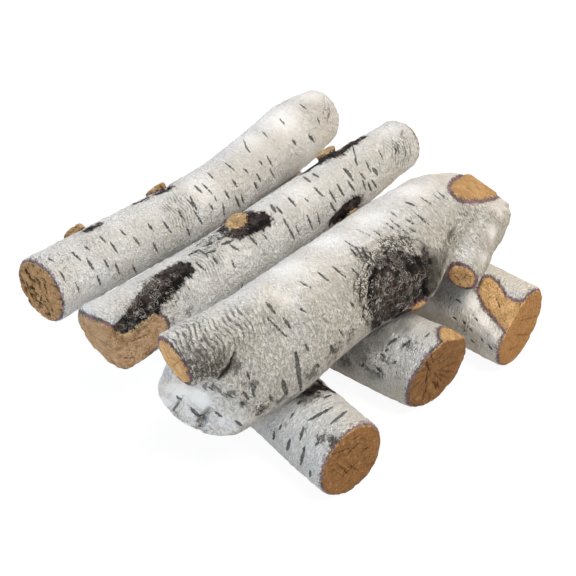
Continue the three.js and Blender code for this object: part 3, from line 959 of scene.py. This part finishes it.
some_places = places_of(pieces["rear_log"])[:50000]
print("points in a dash:", int((line_field(some_places, drawn["rear_log"], 12, 0.35) < 0).sum()))

# %% [markdown]
# The other sides have marks too, which nobody has seen. They are scattered by a seeded draw, and
# only where the camera can't see them, so that they don't mix with those that were read.

# %% Marks on the hidden sides
SCATTER_PER_LOG = 130
OUTSIDE = 120
draw = np.random.default_rng(11)


def hidden(name, place, normal):
    """Whether a place faces away from the camera or lies behind another log."""
    to_camera = (camera_place - place).normalized()
    if normal.dot(to_camera) < -0.05:
        return True
    start = place + normal * 2
    others = [tree for other, tree in skins.items() if other != name]
    return any(tree.ray_cast(start, to_camera)[0] is not None for tree in others)


def scattered(name, log):
    """Dashes 5 to 14 mm long and at most 3 mm wide, each laid round the log from outside."""
    rows = []
    forward, left, up = log["axes"]
    for _ in range(SCATTER_PER_LOG):
        along, turn = draw.uniform(0.03, 0.97) * log["length"], draw.uniform(0, 2 * math.pi)
        length, width, lean = draw.uniform(5, 14), draw.uniform(0.7, 1.5), draw.normal(0, 1.2)
        row = []
        for share in np.linspace(-0.5, 0.5, STROKE_STEPS):
            angle = turn + share * length / (log["girth"] / 2)
            out = left * math.sin(angle) + up * math.cos(angle)
            start = log["near"] + forward * (along + lean * share) + out * OUTSIDE
            place, normal, _, _ = skins[name].ray_cast(Vector(start), Vector(-out))
            if place is not None and hidden(name, place, normal):
                row.append(np.array(place))
        if len(row) == STROKE_STEPS:
            rows.append((np.array(row), width))
    return rows


for name, log in logs.items():
    more = scattered(name, log)
    drawn[name] += more
    print(name, "gets", len(more), "dashes on its hidden sides")

# %% [markdown]
# ## Sculpting the bark
# Birch bark is not smooth: it has low swellings, fine wrinkles that run around the log, and grains
# of paint. They are cut about as deep below the CAD skin as they stand above it, and no point may
# leave the box of its CAD log. Near the places where logs rest on each other nothing is moved.

# %% Where logs rest on each other
SEAT = 2
SEAT_REACH = 9


def near_others(name, places):
    """1 where the nearest other log is further away than SEAT_REACH, falling to 0 at a seat."""
    free = np.ones(len(places))
    for other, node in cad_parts.items():
        if other == name:
            continue
        low, high = (np.array(corner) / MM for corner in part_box(other))
        close = np.flatnonzero(((places > low - SEAT_REACH) & (places < high + SEAT_REACH)).all(1))
        corners = [v.co / MM for v in node.data.vertices]
        other_skin = surface(corners, [tuple(f.vertices) for f in node.data.polygons])
        gaps = gap_to(other_skin, places[close])
        free[close] = np.minimum(free[close], step_up(gaps, SEAT, SEAT_REACH))
    return free


for name, piece in pieces.items():
    logs[name]["free"] = near_others(name, places_of(piece))
    print(name, "keeps", int((logs[name]["free"] == 0).sum()), "points as they are at its seats")

# %% [markdown]
# Next, every point of a log is told how far it is from each kind of mark, and how strongly it lies
# in each kind of patch. Bark also swells dark all round a knot, so a ring is added round each.

# %% Distances that steer the sculpting
FAR = 12
KNOT_RING = 12.5
KNOT_RING_SHIFT = 4
patches = {
    "thin": thin_paint, "thick": thick_paint_and_light, "ribs": ribs, "crumple": crumpled, "grime": grime,
    "soot": soot,
}


def knot_rings(name, places):
    """Millimetres outside the ring of dark bark that lies round each knot."""
    field = np.full(len(places), 3.0 * FAR)
    for _, near, reach in sawn_faces[name]:
        if reach == KNOT:
            middle_of_ring = near + KNOT_RING_SHIFT * logs[name]["axes"][0]
            away = np.linalg.norm(places - middle_of_ring, axis=1)
            field = np.minimum(field, away - KNOT_RING)
    return field


for name, piece in pieces.items():
    log, places = logs[name], places_of(piece)
    log["dash"] = line_field(places, drawn[name], FAR, 0.35)
    log["crack"] = line_field(places, drawn_lines(name, cracks[name]), FAR, 0.3)
    dark_lines = laid_lines(name, dark_bark_and_shade.get(name, []))
    log["dark"] = np.minimum(line_field(places, dark_lines, 3 * FAR, 0.8), knot_rings(name, places))
    log["core"] = line_field(places, laid_lines(name, black_cores.get(name, [])), FAR, 0.8)
    for title, table in patches.items():
        log[title] = spots(name, places, table.get(name, []))
    print(name, "has", int((log["dark"] < 0).sum()), "points of dark bark")

# %% [markdown]
# The ribs are counted along each log, so that the paint can later follow the same ribs. The
# stub's ribs run round the stub, and the log's own take over where the stub has grown into it.

# %% Counting the ribs
RIB_STEP = 3.2
STUB_RIB_STEP = 4.4
STUB_ENDS = (110, 70)
RIB_WANDER = 4.2
RIB_UNEVEN = 0.22


def rib_count(name, places, own):
    """How many ribs lie between the near end and each place."""
    step, along = RIB_STEP, own[:, 0]
    if name == "front_forked_log":
        step, on_stub = STUB_RIB_STEP, step_up(along, *STUB_ENDS)
        along = along * (1 - on_stub) + own_places(stub, places)[:, 0] * on_stub
    wander = RIB_WANDER * lumps(own, (24, 16, 16), 21)
    return (along + wander + RIB_UNEVEN * step * lumps(own, 7, 22)) / step


for name, piece in pieces.items():
    places = places_of(piece)
    logs[name]["rib_count"] = rib_count(name, places, own_places(logs[name], places))
    print(name, "has", int(np.ptp(logs[name]["rib_count"])), "ribs from end to end")

# %% [markdown]
# Each kind of relief has its own depth in millimetres and its own size of lump. Wrinkles are
# short along the log and long around it. Folds take the sharp edges of lumps by leaving out
# their sign, and so do the fibres of the dark bark.

# %% Depths of the bark's relief
SWELLING, SMALL_SWELLING = 1.2, 0.7
WRINKLE, WIDE_WRINKLE = 0.6, 0.45
GRIT = 0.75
RIB = 2.3
FOLD, SMALL_FOLD = 2.4, 1.4
FIBRE, SMALL_FIBRE = 1.5, 1.2
DASH = 0.7


def raised(own, sizes, seed):
    """Lumps that only rise, from 0 to 1."""
    return 0.5 + 0.5 * lumps(own, sizes, seed)


def folds(own):
    return FOLD * np.abs(lumps(own, (6, 7, 7), 24)) + SMALL_FOLD * np.abs(lumps(own, 4, 25))


def bark_depth(log, own):
    """How deep the bark is cut at each point. Thick paint fills the grit, also where it stands in
    as painted light, and thin paint shows it.
    """
    swell = SWELLING * raised(own, 30, 3) + SMALL_SWELLING * raised(own, 12, 4)
    wrinkle = WRINKLE * raised(own, (3.2, 12, 12), 5) + WIDE_WRINKLE * raised(own, (6, 20, 20), 6)
    grit = GRIT * raised(own, 4.2, 8) * (1 + 0.6 * log["thin"]) * (1 - 0.8 * log["thick"])
    dashes = DASH * step_up(log["dash"], 0.5, -0.5)
    rib = np.clip(log["ribs"], 0, 1) * (0.4 + 0.6 * step_up(lumps(own, (16, 8, 8), 23), -0.5, 0.3))
    rib *= (0.5 + 0.5 * np.sin(2 * math.pi * log["rib_count"])) ** 1.5
    return swell + wrinkle + grit + dashes + RIB * rib + folds(own) * log["crumple"]


def fibre_depth(own):
    return FIBRE * np.abs(lumps(own, (6, 3.4, 3.4), 9)) + SMALL_FIBRE * np.abs(lumps(own, 5, 10))


own = own_places(rear, places_of(pieces["rear_log"]))
print("the rear log's bark is cut", bark_depth(rear, own).max().round(1), "mm deep at most")

# %% [markdown]
# The sawn faces are lower than the bark, with pits where the saw tore the wood, cracks, and a
# chipped rim. The pits are deepest on the rear log's end, which the maker cast as rotten wood.

# %% Cutting the relief
MEAN_DEPTH = 1.5
FACE_DEPTH = 0.5
PIT_FLOOR = 0.3
CRACK = 0.8
CHIP, CHIP_REACH = 1.3, 2.2
pits_of = {
    "left_base_log": 0.7, "centre_base_log": 0.7, "right_base_log": 0.5, "front_forked_log": 0.5,
    "middle_log": 0.9, "rear_log": 3.2,
}


def cut_grooves(name, places):
    """The depth of the grooves at each point, and how much painted shade lies in them."""
    groove, groove_shade = np.zeros(len(places)), np.zeros(len(places))
    for points, width, depth, shade_share in grooves.get(name, []):
        gap = line_field(places, laid_lines(name, [(points, width / 2)]), FAR, 0.5)
        inside = step_up(gap, width * 0.5, -width * 0.4)
        groove = np.maximum(groove, depth * inside)
        groove_shade = np.maximum(groove_shade, shade_share * inside)
    return groove, groove_shade


def carve(name, piece):
    log, places, out = logs[name], places_of(piece), normals_of(piece)
    own, deepest_pit = own_places(log, places), pits_of[name]
    on_face = step_up(log["edge"], -0.5, 1)
    bark = 1 - on_face
    pits = deepest_pit * step_up(lumps(own, 4.2, 12), 0.1, 0.8) + PIT_FLOOR * raised(own, 7, 13)
    cracks_cut = CRACK * step_up(log["crack"], 0.6, -0.3)
    at_rim = np.exp(-((log["edge"] / CHIP_REACH) ** 2))
    chips = CHIP * at_rim * step_up(lumps(own, 3.6, 14), -0.1, 0.7)
    groove, groove_shade = cut_grooves(name, places)
    depth = bark * bark_depth(log, own) + step_up(log["dark"], 1, -3) * bark * fibre_depth(own)
    depth += on_face * (FACE_DEPTH + pits) + cracks_cut + chips + groove
    depth -= spots(name, places, mounds.get(name, [])) * bark
    # The hollows get painted shade later: grey wash with shade in the grooves and folds, and brown
    # in the pits of the sawn faces.
    hollow = groove_shade + step_up(folds(own), 0.8, 1.8) * log["crumple"] * 0.9
    pit_shade = pits / deepest_pit * min(deepest_pit / 2, 1)
    log["hollow"] = np.where(on_face > 0.5, pit_shade, hollow)
    moved = places - out * ((depth - MEAN_DEPTH) * log["free"])[:, None]
    low, high = (np.array(corner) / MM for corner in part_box(name))
    move_to(piece, np.clip(moved, low, high))
    return depth


for name, piece in pieces.items():
    print(name, "is cut", carve(name, piece).max().round(1), "mm deep at most")

# %% [markdown]
# The materials need the same distances, so each becomes an attribute: one value at every point
# of the mesh, which a material can read by its name.

# %% Giving the distances to the materials
FIELDS = (
    "edge", "dash", "crack", "dark", "core", "thin", "thick", "ribs", "rib_count", "crumple",
    "grime", "soot", "hollow",
)
for name, piece in pieces.items():
    for title in FIELDS:
        layer = piece.data.attributes.new(title, "FLOAT", "POINT")
        layer.data.foreach_set("value", logs[name][title].astype(np.float32))
print("attributes on each log:", [a.name for a in pieces["rear_log"].data.attributes])

# %% [markdown]
# ## Paint on fired ceramic
# The body is refractory ceramic, fired and left unglazed, so everything on it is matt. White
# masonry paint is dry-brushed over a grey wash. The wash in the wrinkles and hollows is partly a
# painted shade of the fine relief, and the brightest white on the high grain is partly a painted
# highlight. The sawn faces are stained tan, the bark round a knot is brushed nearly black, and a
# purple-brown line is drawn round every face.


# %% Colours
def srgb(code):
    """A screen colour such as #E8E6E2 as linear light."""
    parts = [int(code[i:i + 2], 16) / 255 for i in (1, 3, 5)]
    return tuple(p / 12.92 if p <= 0.04045 else ((p + 0.055) / 1.055) ** 2.4 for p in parts) + (1,)


print("white paint in linear light:", [round(v, 3) for v in srgb("#E8E6E2")])

# %% [markdown]
# A material is a net of small nodes. To keep that readable, each kind of node has one plain word
# in a table, and a single function adds a node by its word. Arithmetic keeps Blender's own words.

# %% Nodes by their words
# The word, then the kind of node, its sockets in order, its output and its settings.
WORDS = {
    "object_place": ("TexCoord", (), "Object", {}),
    "world_way": ("TexCoord", (), "Generated", {}),
    "normal": ("NewGeometry", (), "Normal", {}),
    "camera_ray": ("LightPath", (), "Is Camera Ray", {}),
    "field": ("Attribute", (), "Fac", {}),
    "turned": ("Mapping", ("Vector", "Rotation", "Scale"), 0, {"vector_type": "TEXTURE"}),
    "noise": ("TexNoise", ("Vector", "Scale", "Detail", "Roughness", "Distortion"), "Fac", {}),
    "x_of": ("SeparateXYZ", (0,), 0, {}),
    "y_of": ("SeparateXYZ", (0,), 1, {}),
    "z_of": ("SeparateXYZ", (0,), 2, {}),
    "range": ("MapRange", ("Value", "From Min", "From Max", "To Min", "To Max"), 0, {}),
    "ease": (
        "MapRange", ("Value", "From Min", "From Max", "To Max"), 0,
        {"interpolation_type": "SMOOTHSTEP"},
    ),
    "blend": ("Mix", (0, 6, 7), 2, {"data_type": "RGBA"}),
    "bump": ("Bump", ("Strength", "Distance", "Height"), 0, {}),
    "paint": (
        "BsdfPrincipled", ("Base Color", "Normal", "Roughness", "IOR", "Specular IOR Level"), 0, {},
    ),
    "chalk": ("BsdfDiffuse", ("Color",), 0, {}),
    "glow": ("Emission", ("Color", "Strength"), 0, {}),
    "both": ("AddShader", (0, 1), 0, {}),
    "either": ("MixShader", (0, 1, 2), 0, {}),
    "sky": ("Background", ("Color", "Strength"), 0, {}),
    "material_end": ("OutputMaterial", ("Surface",), None, {}),
    "world_end": ("OutputWorld", ("Surface",), None, {}),
}
for operation in (
    "ADD", "SUBTRACT", "MULTIPLY", "MULTIPLY_ADD", "MINIMUM", "SINE", "FRACT", "ABSOLUTE",
):
    WORDS[operation] = ("Math", (0, 1, 2), 0, {"operation": operation})


def add(tree, word, *values, **settings):
    """Adds a node. Values that are sockets are linked to it, and others are set on it."""
    kind, sockets, output, fixed = WORDS[word]
    node = tree.nodes.new("ShaderNode" + kind)
    for key, value in (fixed | settings).items():
        setattr(node, key, value)
    for socket, value in zip(sockets, values):
        if isinstance(value, bpy.types.NodeSocket):
            tree.links.new(value, node.inputs[socket])
        else:
            node.inputs[socket].default_value = srgb(value) if isinstance(value, str) else value
    return None if output is None else node.outputs[output]


print(len(WORDS), "words for nodes")

# %% [markdown]
# Brushed paint and cast bark are full of small patterns. Each is a noise whose size was measured
# on the photograph: most are longer around the log than along it, as birch bark is.

# %% Patterns at their real size
# Millimetres along the log and around it, detail, roughness and distortion. The real sand grains
# are about half a millimetre, too fine to show, so they are drawn as coarse as they need to be.
PATTERNS = {
    "grain": (1.5, 1.9, 4, 0.62, 0),  # sand grains in the ceramic
    "plaster": (4.2, 5, 3, 0.6, 0),  # dabs of paint
    "wrinkle": (1.6, 3.4, 2, 0.5, 1),  # the bark's finest wrinkles
    "crease": (2.2, 2.9, 2, 0.55, 1.2),  # creases of crumpled bark
    "streak": (1.5, 5.5, 3, 0.6, 0),  # where a dry brush skipped
    "mottle": (34, 44, 3, 0.55, 0),  # slow change of the white along a log
    "brush": (2.6, 6, 4, 0.75, 0),  # frayed ends of brush strokes
    "ragged": (1.8, 1.8, 3, 0.5, 0),  # the ragged edge of every stain and dash
    "swirl": (13, 13, 1, 0.5, 1.6),  # loops of white thread on dark bark
    "small_swirl": (8, 8, 1, 0.5, 2.2),
    "thread_gaps": (9, 10, 1, 0.5, 0),
    "rib_wander": (5, 9, 3, 0.65, 0),  # ribs that bend
    "rib_gaps": (5, 7, 3, 0.6, 0),  # ribs that break off
    "spatter": (4.5, 5.5, 4, 0.7, 0),  # specks of grime
    "rim_tone": (8, 8, 2, 0.5, 0),  # purple and brown in the line round a face
    "char": (7, 7, 2, 0.6, 0),  # black and brown in the dark bark
    "rust": (9, 9, 2, 0.5, 0),
    "stain_pool": (9, 9, 4, 0.6, 0),  # where the stain ran together
    "stain_skip": (7, 7, 4, 0.7, 0),  # where it hardly took
}


def patterns(node, log):
    """Every pattern on one log, turned so that it follows the log's line."""
    place = node("object_place")
    turn = (0, -math.radians(log["pitch"]), math.radians(log["heading"]))
    made = {}
    for title, (along, around, detail, rough, warp) in PATTERNS.items():
        skin = node("turned", place, turn, (along * MM, around * MM, around * MM))
        made[title] = node("noise", skin, 1, detail, rough, warp)
    return made


print(len(PATTERNS), "patterns on every log")

# %% [markdown]
# The six logs were painted by hand, one after another, and they stand in different light, so each
# has its own white, its own tan stain, and its own amounts of everything else.

# %% Each log's own finish
# The white paint, the tan stain, the stain that faces up, painted lighter as if lit from above, the
# width in millimetres of the line round a sawn face, and the shares of grey wash with painted shade
# in the wrinkles, painted shade on top, painted shade on the front side and grey between the ribs.
finish_titles = ("white", "stain", "stain_on_top", "rim", "wash", "dust", "front_tone", "rib_ink")
finish_rows = {
    "left_base_log": ("#EDEDEC", "#8F673F", "#DFB37A", 1.2, 0.16, 0, 0.1, 0.3),
    "centre_base_log": ("#EDEDEC", "#8B643E", "#E9C08A", 2.2, 0.18, 0, 0.1, 0.3),
    "right_base_log": ("#FBF1E2", "#BB8B55", "#F6C88C", 2, 0.12, 0, 0, 0.3),
    "front_forked_log": ("#EDEDEC", "#F8C78C", "#D8B07A", 3.2, 0.27, 0.1, 0.58, 0.85),
    "middle_log": ("#F8F8F6", "#D4B08A", "#EFCD9B", 2.8, 0.13, 0.4, 0, 0.65),
    "rear_log": ("#FBFBFA", "#C8A072", "#EFCD9B", 1.8, 0.06, 0.4, 0, 0.55),
}
print("the front log's finish:", dict(zip(finish_titles, finish_rows["front_forked_log"])))

# %% [markdown]
# Every stain, line and dash was painted by a brush that left a ragged edge. So each distance has
# a little noise added to it, in millimetres, and is then turned into a share from 0 to 1 over a
# fraction of a millimetre, which looks like an edge of real paint. What the material knows about
# a point is kept together in `at`: its patterns, its distances, and now the edges.


# %% Ragged edges
def find_edges(node, at, finish):
    """Adds to what a material knows about a point: which stain, line or dash it lies in."""
    ragged = node("MULTIPLY_ADD", at.ragged, 6, -3)
    edge = node("ADD", at.edge, ragged)
    at.on_face = node("ease", edge, -0.3, 0.3)
    off_face = node("SUBTRACT", 1, at.on_face)
    at.rim = node("MULTIPLY", node("ease", edge, -finish.rim - 1, -finish.rim), off_face)
    smeared = node("ADD", edge, node("MULTIPLY_ADD", at.brush, 12, -6))
    at.halo = node("MULTIPLY", node("ease", smeared, -4, -3, 0.55), off_face)
    dash = node("ADD", at.dash, node("MULTIPLY", ragged, 0.45))
    at.in_dash = node("ease", dash, 0.5, -0.1)
    crack = node("ADD", at.crack, node("MULTIPLY", ragged, 0.3))
    at.in_crack = node("ease", crack, 0.3, -0.3)
    frayed = node("MULTIPLY_ADD", at.brush, 13, -6.5)
    dark = node("ADD", at.dark, node("ADD", frayed, node("MULTIPLY_ADD", at.plaster, 12, -6)))
    at.in_dark = node("ease", dark, 0.9, -0.9)
    at.smoke = node("ease", dark, 5, -1, 0.7)
    at.up, at.back = node("z_of", node("normal")), node("y_of", node("normal"))
    at.rough = node("ease", at.thick, 1, 0.1)


print("edges: faces, rims, dashes, cracks and dark bark")

# %% [markdown]
# The bark is white masonry paint, dry-brushed over a grey wash on the fired ceramic. The wash
# stays in the wrinkles as thin grey lines, stronger on the sides, partly a painted shade of the
# fine relief, and the white is brightest on the high grain, partly a painted highlight. Where it
# was dabbed on thick it is smooth and whiter, also as painted light. Painted shade greys what faces
# up and the sides that face the front.


# %% White paint over a grey wash
def white_paint(node, at, finish):
    """The bark's first coat, and the layers on it: each a share from 0 to 1 and a colour."""
    coat = node("blend", node("ease", at.mottle, 0.35, 0.65), finish.white, "#E6E3DD")
    on_sides = node("ease", at.up, 0.95, 0.5)
    wash = node("MULTIPLY_ADD", on_sides, finish.wash, finish.wash * 0.5)
    wash = node("MULTIPLY", node("ease", at.wrinkle, 0.5, 0.4), node("MULTIPLY", at.rough, wash))
    front = node("ease", at.back, -0.1, -0.75, finish.front_tone)
    high = node("ease", at.wrinkle, 0.54, 0.62, 0.5)
    return coat, [
        # painted shade: grey on what faces up, which evens the light between tops and sides
        (node("ease", at.up, 0.2, 0.9, finish.dust), "#D5D2CC"),
        # painted shade on the sides that face the front
        (node("MULTIPLY", at.rough, front), "#ACA699"),
        # thick white, which also stands in as painted light on the right base log
        (node("ease", at.thick, 0.3, 1, 0.8), node("blend", 0.5, finish.white, "#F9F9F9")),
        # grey wash in the wrinkles, partly a painted shade of the fine relief
        (wash, "#736F66"),
        # white on the high grain, partly a painted highlight
        (node("MULTIPLY", at.rough, high), "#F3F1ED"),
    ]


print("white paint: one coat and five layers")

# %% [markdown]
# Where the paint is thin, the ceramic's grit and the grey body show through as specks and short
# streaks. Grey wash lies between the ribs, and grey wash with painted shade in the hollows. Grime
# lies over all of it, partly painted shade, and a smooth painted shadow darkens the logs that lie
# under others. The crests of crumpled bark are touched with white again, partly a painted
# highlight, and what faces down is painted darker as shade.


# %% Wear and dirt
def wear(node, at, finish):
    """Layers where the paint is worn, ribbed, dirty or crumpled."""
    limit = node("MULTIPLY_ADD", at.crumple, 0.14, node("MULTIPLY_ADD", at.thin, 0.1, 0.36))
    at.gritty = node("MULTIPLY_ADD", at.crumple, 0.9, node("MULTIPLY", at.thin, 0.6))
    at.gritty = node("MINIMUM", at.gritty, 0.9)
    grit = node("ease", node("SUBTRACT", limit, at.crease), -0.02, 0.04)
    grit_tone = node("blend", node("ease", at.crumple, 0.3, 0.8), "#5C5953", "#332F2C")
    skipped = node("SUBTRACT", node("MULTIPLY_ADD", at.thin, 0.16, 0.26), at.streak)
    hollow = node("ADD", at.hollow, node("MULTIPLY_ADD", at.grain, 0.5, -0.25))
    sandy = node("MULTIPLY_ADD", at.grain, 2.5, -1.25)
    wave = node("SINE", node("MULTIPLY_ADD", at.rib_count, 2 * math.pi, sandy))
    wave = node("ADD", wave, node("MULTIPLY_ADD", at.rib_wander, 6, -3))
    rib = node("ease", at.ribs, 0.2, 0.95, finish.rib_ink)
    rib = node("MULTIPLY", node("ease", wave, 0.1, 0.8), rib)
    rib = node("MULTIPLY", rib, node("ease", at.rib_gaps, 0.34, 0.46))
    shade_mask = node("ADD", at.soot, node("MULTIPLY_ADD", at.plaster, 0.9, -0.45))
    specks = node("MULTIPLY", at.grime, node("MULTIPLY_ADD", at.spatter, 6, -2))
    clean = node("ease", at.grime, 0.4, 0.9, 0.5)
    high = node("MULTIPLY", node("ease", at.crease, 0.54, 0.64), clean)
    # crests of crumpled bark touched with white, partly a painted highlight
    crest = node("ease", at.crumple, 0.3, 0.8, 0.85)
    crest = node("MULTIPLY", node("ease", at.crease, 0.48, 0.58), crest)
    return [
        (node("MULTIPLY", grit, at.gritty), grit_tone),
        (node("ease", skipped, -0.02, 0.03, 0.85), "#605F5B"),
        # grey wash and painted shade in the hollows
        (node("ease", hollow, 0.25, 0.75, 0.75), "#6A675F"),
        (rib, "#75736A"),
        # painted shadow on the logs that lie under others
        (node("ease", shade_mask, 0.1, 0.9, 0.62), "#5F5A4F"),
        # grey specks of grime, partly painted shade
        (node("ease", specks, 0.3, 0.95, 0.8), "#5E5B53"),
        (high, "#CCC7BC"),
        (at.smoke, "#7C7674"),
        (crest, "#E9E5DD"),
        # painted shade, nearly black where the arm leaves the burl
        (node("ease", at.soot, 0.95, 1.6, 0.7), "#2F2924"),
        # painted shade, nearly black deep in the grooves and folds
        (node("ease", hollow, 0.7, 1.05, 0.9), "#1E1B19"),
        # painted shade on what faces down
        (node("ease", at.up, -0.55, -0.9, 0.6), "#7A726D"),
    ]


print("wear: twelve layers, from grit to soot")

# %% [markdown]
# A dash is painted in thin black, darkest along its edge, where the paint drew back as it dried.
# The line round a face is a purple-brown glaze that runs from plum to brown. The bark round a
# knot is a thick matt black with brown in it, and fine loops of white thread are trailed over it.


# %% Dashes, face lines and dark bark
def dark_paint(node, at):
    """Layers of black, brown and purple paint on the white bark."""
    thin_black = node("blend", node("ease", at.crease, 0.4, 0.6), "#353735", "#5C5E5B")
    dried = node("MULTIPLY", node("ease", at.dash, -0.4, -1.1), node("ease", at.crease, 0.4, 0.55))
    rim_tone = node("blend", node("ease", at.rim_tone, 0.4, 0.6), "#946C74", "#5E5051")
    black = node("blend", node("ease", at.char, 0.42, 0.58), "#171413", "#4A4340")
    black = node("blend", node("ease", at.rust, 0.5, 0.65, 0.55), black, "#4E2F25")
    core = node("ADD", at.core, node("MULTIPLY_ADD", at.brush, 12, -6))
    black = node("blend", node("ease", core, 2.5, -1.5), black, "#0E0C0B")
    laid_on = node("ease", at.crumple, -0.1, 0.45)
    for loops, count, tone in ((at.swirl, 8, "#D9D3CB"), (at.small_swirl, 6, "#8F8680")):
        turns = node("SUBTRACT", node("FRACT", node("MULTIPLY", loops, count)), 0.5)
        thread = node("ease", node("ABSOLUTE", turns), 0.14, 0.04, 0.85)
        thread = node("MULTIPLY", thread, node("ease", at.thread_gaps, 0.4, 0.5))
        black = node("blend", node("MULTIPLY", thread, laid_on), black, tone)
    return [
        (node("MULTIPLY", at.in_dash, 0.9), node("blend", dried, thin_black, "#7C7E78")),
        (at.halo, "#77696B"),
        (node("MULTIPLY", at.rim, 0.85), rim_tone),
        (at.in_dark, black),
    ]


print("dark paint: dashes, halo, rim and black bark")

# %% [markdown]
# The sawn faces carry a thin tan wood stain on the bare ceramic. It is painted paler where it
# faces up, as if lit from above, darker where it ran together, and brown in the cracks and in the
# pits, where the brown is partly painted shade.


# %% Tan stain on sawn faces
def stain(node, at, finish):
    """The stain, as one colour that changes over the face."""
    # paler stain where the face looks up: painted light from above
    tan = node("blend", node("ease", at.up, 0.3, 0.7), finish.stain, finish.stain_on_top)
    for share, tone in (
        (node("ease", at.stain_pool, 0.35, 0.65, 0.45), "#A0713F"),
        (node("ease", at.grain, 0.48, 0.34, 0.5), "#7E5835"),
        (node("ease", at.stain_skip, 0.5, 0.8, 0.5), "#DDB680"),
        # brown in the pits: stain and painted shade
        (node("ease", at.hollow, 0.2, 0.9, 0.8), "#5E3C20"),
        (at.in_crack, "#55391F"),
    ):
        tan = node("blend", share, tan, tone)
    return tan


print("stain: a base and five tones")

# %% [markdown]
# The finished surface is matt: unglazed ceramic and masonry paint scatter light evenly, with no
# gloss, so the roughness is high and the specular level low. Relief finer than a pixel of the
# picture can't be in the mesh. It is a bump: wrinkles, dabs of paint and grit, in millimetres.

# %% The painted logs
MATT = 0.88
PAINT_IOR = 1.5
LOW_SHEEN = 0.25


def fine_relief(node, at):
    """Height in millimetres."""
    height = node("MULTIPLY", at.wrinkle, node("MULTIPLY_ADD", at.rough, 4.2, 0.6))
    height = node("MULTIPLY_ADD", at.plaster, 2, height)
    height = node("MULTIPLY_ADD", at.crease, node("MULTIPLY", at.gritty, 3), height)
    height = node("MULTIPLY_ADD", node("MULTIPLY", at.in_dark, at.crease), 5, height)
    height = node("MULTIPLY_ADD", at.in_dash, -0.5, height)
    return node("MULTIPLY_ADD", at.in_crack, -0.5, height)


def birch_paint(name):
    """Masonry paint and stain, brushed by hand on fired ceramic."""
    material = bpy.data.materials.new("birch_paint_on_ceramic_" + name)
    material.use_nodes = True
    material.node_tree.nodes.clear()
    node = partial(add, material.node_tree)
    finish = SimpleNamespace(**dict(zip(finish_titles, finish_rows[name])))
    fields = {title: node("field", attribute_name=title) for title in FIELDS}
    at = SimpleNamespace(**patterns(node, logs[name]), **fields)
    find_edges(node, at, finish)
    paint, layers = white_paint(node, at, finish)
    layers += wear(node, at, finish) + dark_paint(node, at)
    layers.append((at.on_face, stain(node, at, finish)))
    for share, tone in layers:
        paint = node("blend", share, paint, tone)
    bump = node("bump", 1, MM, fine_relief(node, at))
    node("material_end", node("paint", paint, bump, MATT, PAINT_IOR, LOW_SHEEN))
    return material


for name, piece in pieces.items():
    piece.data.materials.append(birch_paint(name))
    print(piece.data.materials[0].name, len(piece.data.materials[0].node_tree.nodes), "nodes")

# %% [markdown]
# ## Each log on its body
# Every finished log takes the place of its CAD node and moves with its body. The table also lists
# each log's material slot, which is read but not used.

# %% Riding
bodies = {
    "left_base_log": ("left_base", "base_bark"), "centre_base_log": ("centre_base", "base_bark"),
    "right_base_log": ("right_base", "base_bark"), "front_forked_log": ("front", "top_bark"),
    "middle_log": ("middle", "top_bark"), "rear_log": ("rear", "top_bark"),
}
for name, piece in pieces.items():
    body, slot = bodies[name]
    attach(piece, body)
    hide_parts(name)
print("pieces ride on", sorted(body for body, slot in bodies.values()))

# %% [markdown]
# ## Hearth and light
# The set stands on plain white. The floor is lit like everything else, and camera rays see a
# share of plain white added to it, so it reads as white while the logs' soft shadow stays.

# %% The floor
# Metres. The floor lies a fifth of a millimetre below the logs, so that the two don't share a face.
FLOOR_SIZE = 12
FLOOR_DROP = 0.0002

bpy.ops.object.select_all(action="DESELECT")
bpy.ops.mesh.primitive_plane_add(size=FLOOR_SIZE, location=(0, 0, -FLOOR_DROP))
floor = bpy.context.object
floor.name = "white_floor"
floor_paint = bpy.data.materials.new("matt_white_floor")
floor_paint.use_nodes = True
floor_paint.node_tree.nodes.clear()
node = partial(add, floor_paint.node_tree)
seen_white = node("both", node("chalk", "#5C5C5C"), node("glow", "#FFFFFF", 0.93))
node("material_end", node("either", node("camera_ray"), node("chalk", "#EFECE6"), seen_white))
floor.data.materials.append(floor_paint)
print("floor at", tuple(floor.location))

# %% [markdown]
# The photograph was lit from all round, as in a white room with daylight on its left and warmer
# light on its right. The world gives that even light. Behind the logs the camera sees plain white.

# %% The world
world = bpy.data.worlds.new("studio")
bpy.context.scene.world = world
world.use_nodes = True
world.node_tree.nodes.clear()
node = partial(add, world.node_tree)
camera_ray = node("camera_ray")
from_right = node("range", node("x_of", node("world_way")), -0.7, 0.7)
room = node("blend", from_right, "#E2EEFF", "#FFEEDC")
strength = node("range", camera_ray, 0, 1, 0.44, 1)
node("world_end", node("sky", node("blend", camera_ray, room, "#FFFFFF"), strength))
print("world nodes:", len(world.node_tree.nodes))

# %% [markdown]
# Four softboxes shape the logs. The strongest hangs over the front and lights the tops. One behind
# gives the rims on the far sides, and one on each side keeps the near ends and the far ends as
# cool and as warm as the photograph has them.

# %% The lamps
LAMP_DISTANCE = 1.6


def lamp(title, towards, width, power, tint):
    """A square softbox that faces the logs: where it hangs, its width in metres and its watts."""
    way = Vector(towards).normalized()
    turn = way.to_track_quat("Z", "Y").to_euler()
    bpy.ops.object.light_add(type="AREA", location=way * LAMP_DISTANCE, rotation=turn)
    light = bpy.context.object
    light.name = title
    light.data.size = width
    light.data.energy = power
    light.data.color = srgb(tint)[:3]


lamp("softbox_front_above", (0, -0.5, 1), 0.7, 19.5, "#FFFAF0")
lamp("window_behind", (0, 1, 0.6), 0.8, 11.5, "#DFECFF")
lamp("window_left", (-1, 0, 0.4), 0.8, 5.5, "#D6E9FF")
lamp("warm_wall_right", (1, 0, 0.4), 0.8, 6.5, "#FFDDBE")
bpy.context.scene.view_settings.view_transform = "Standard"
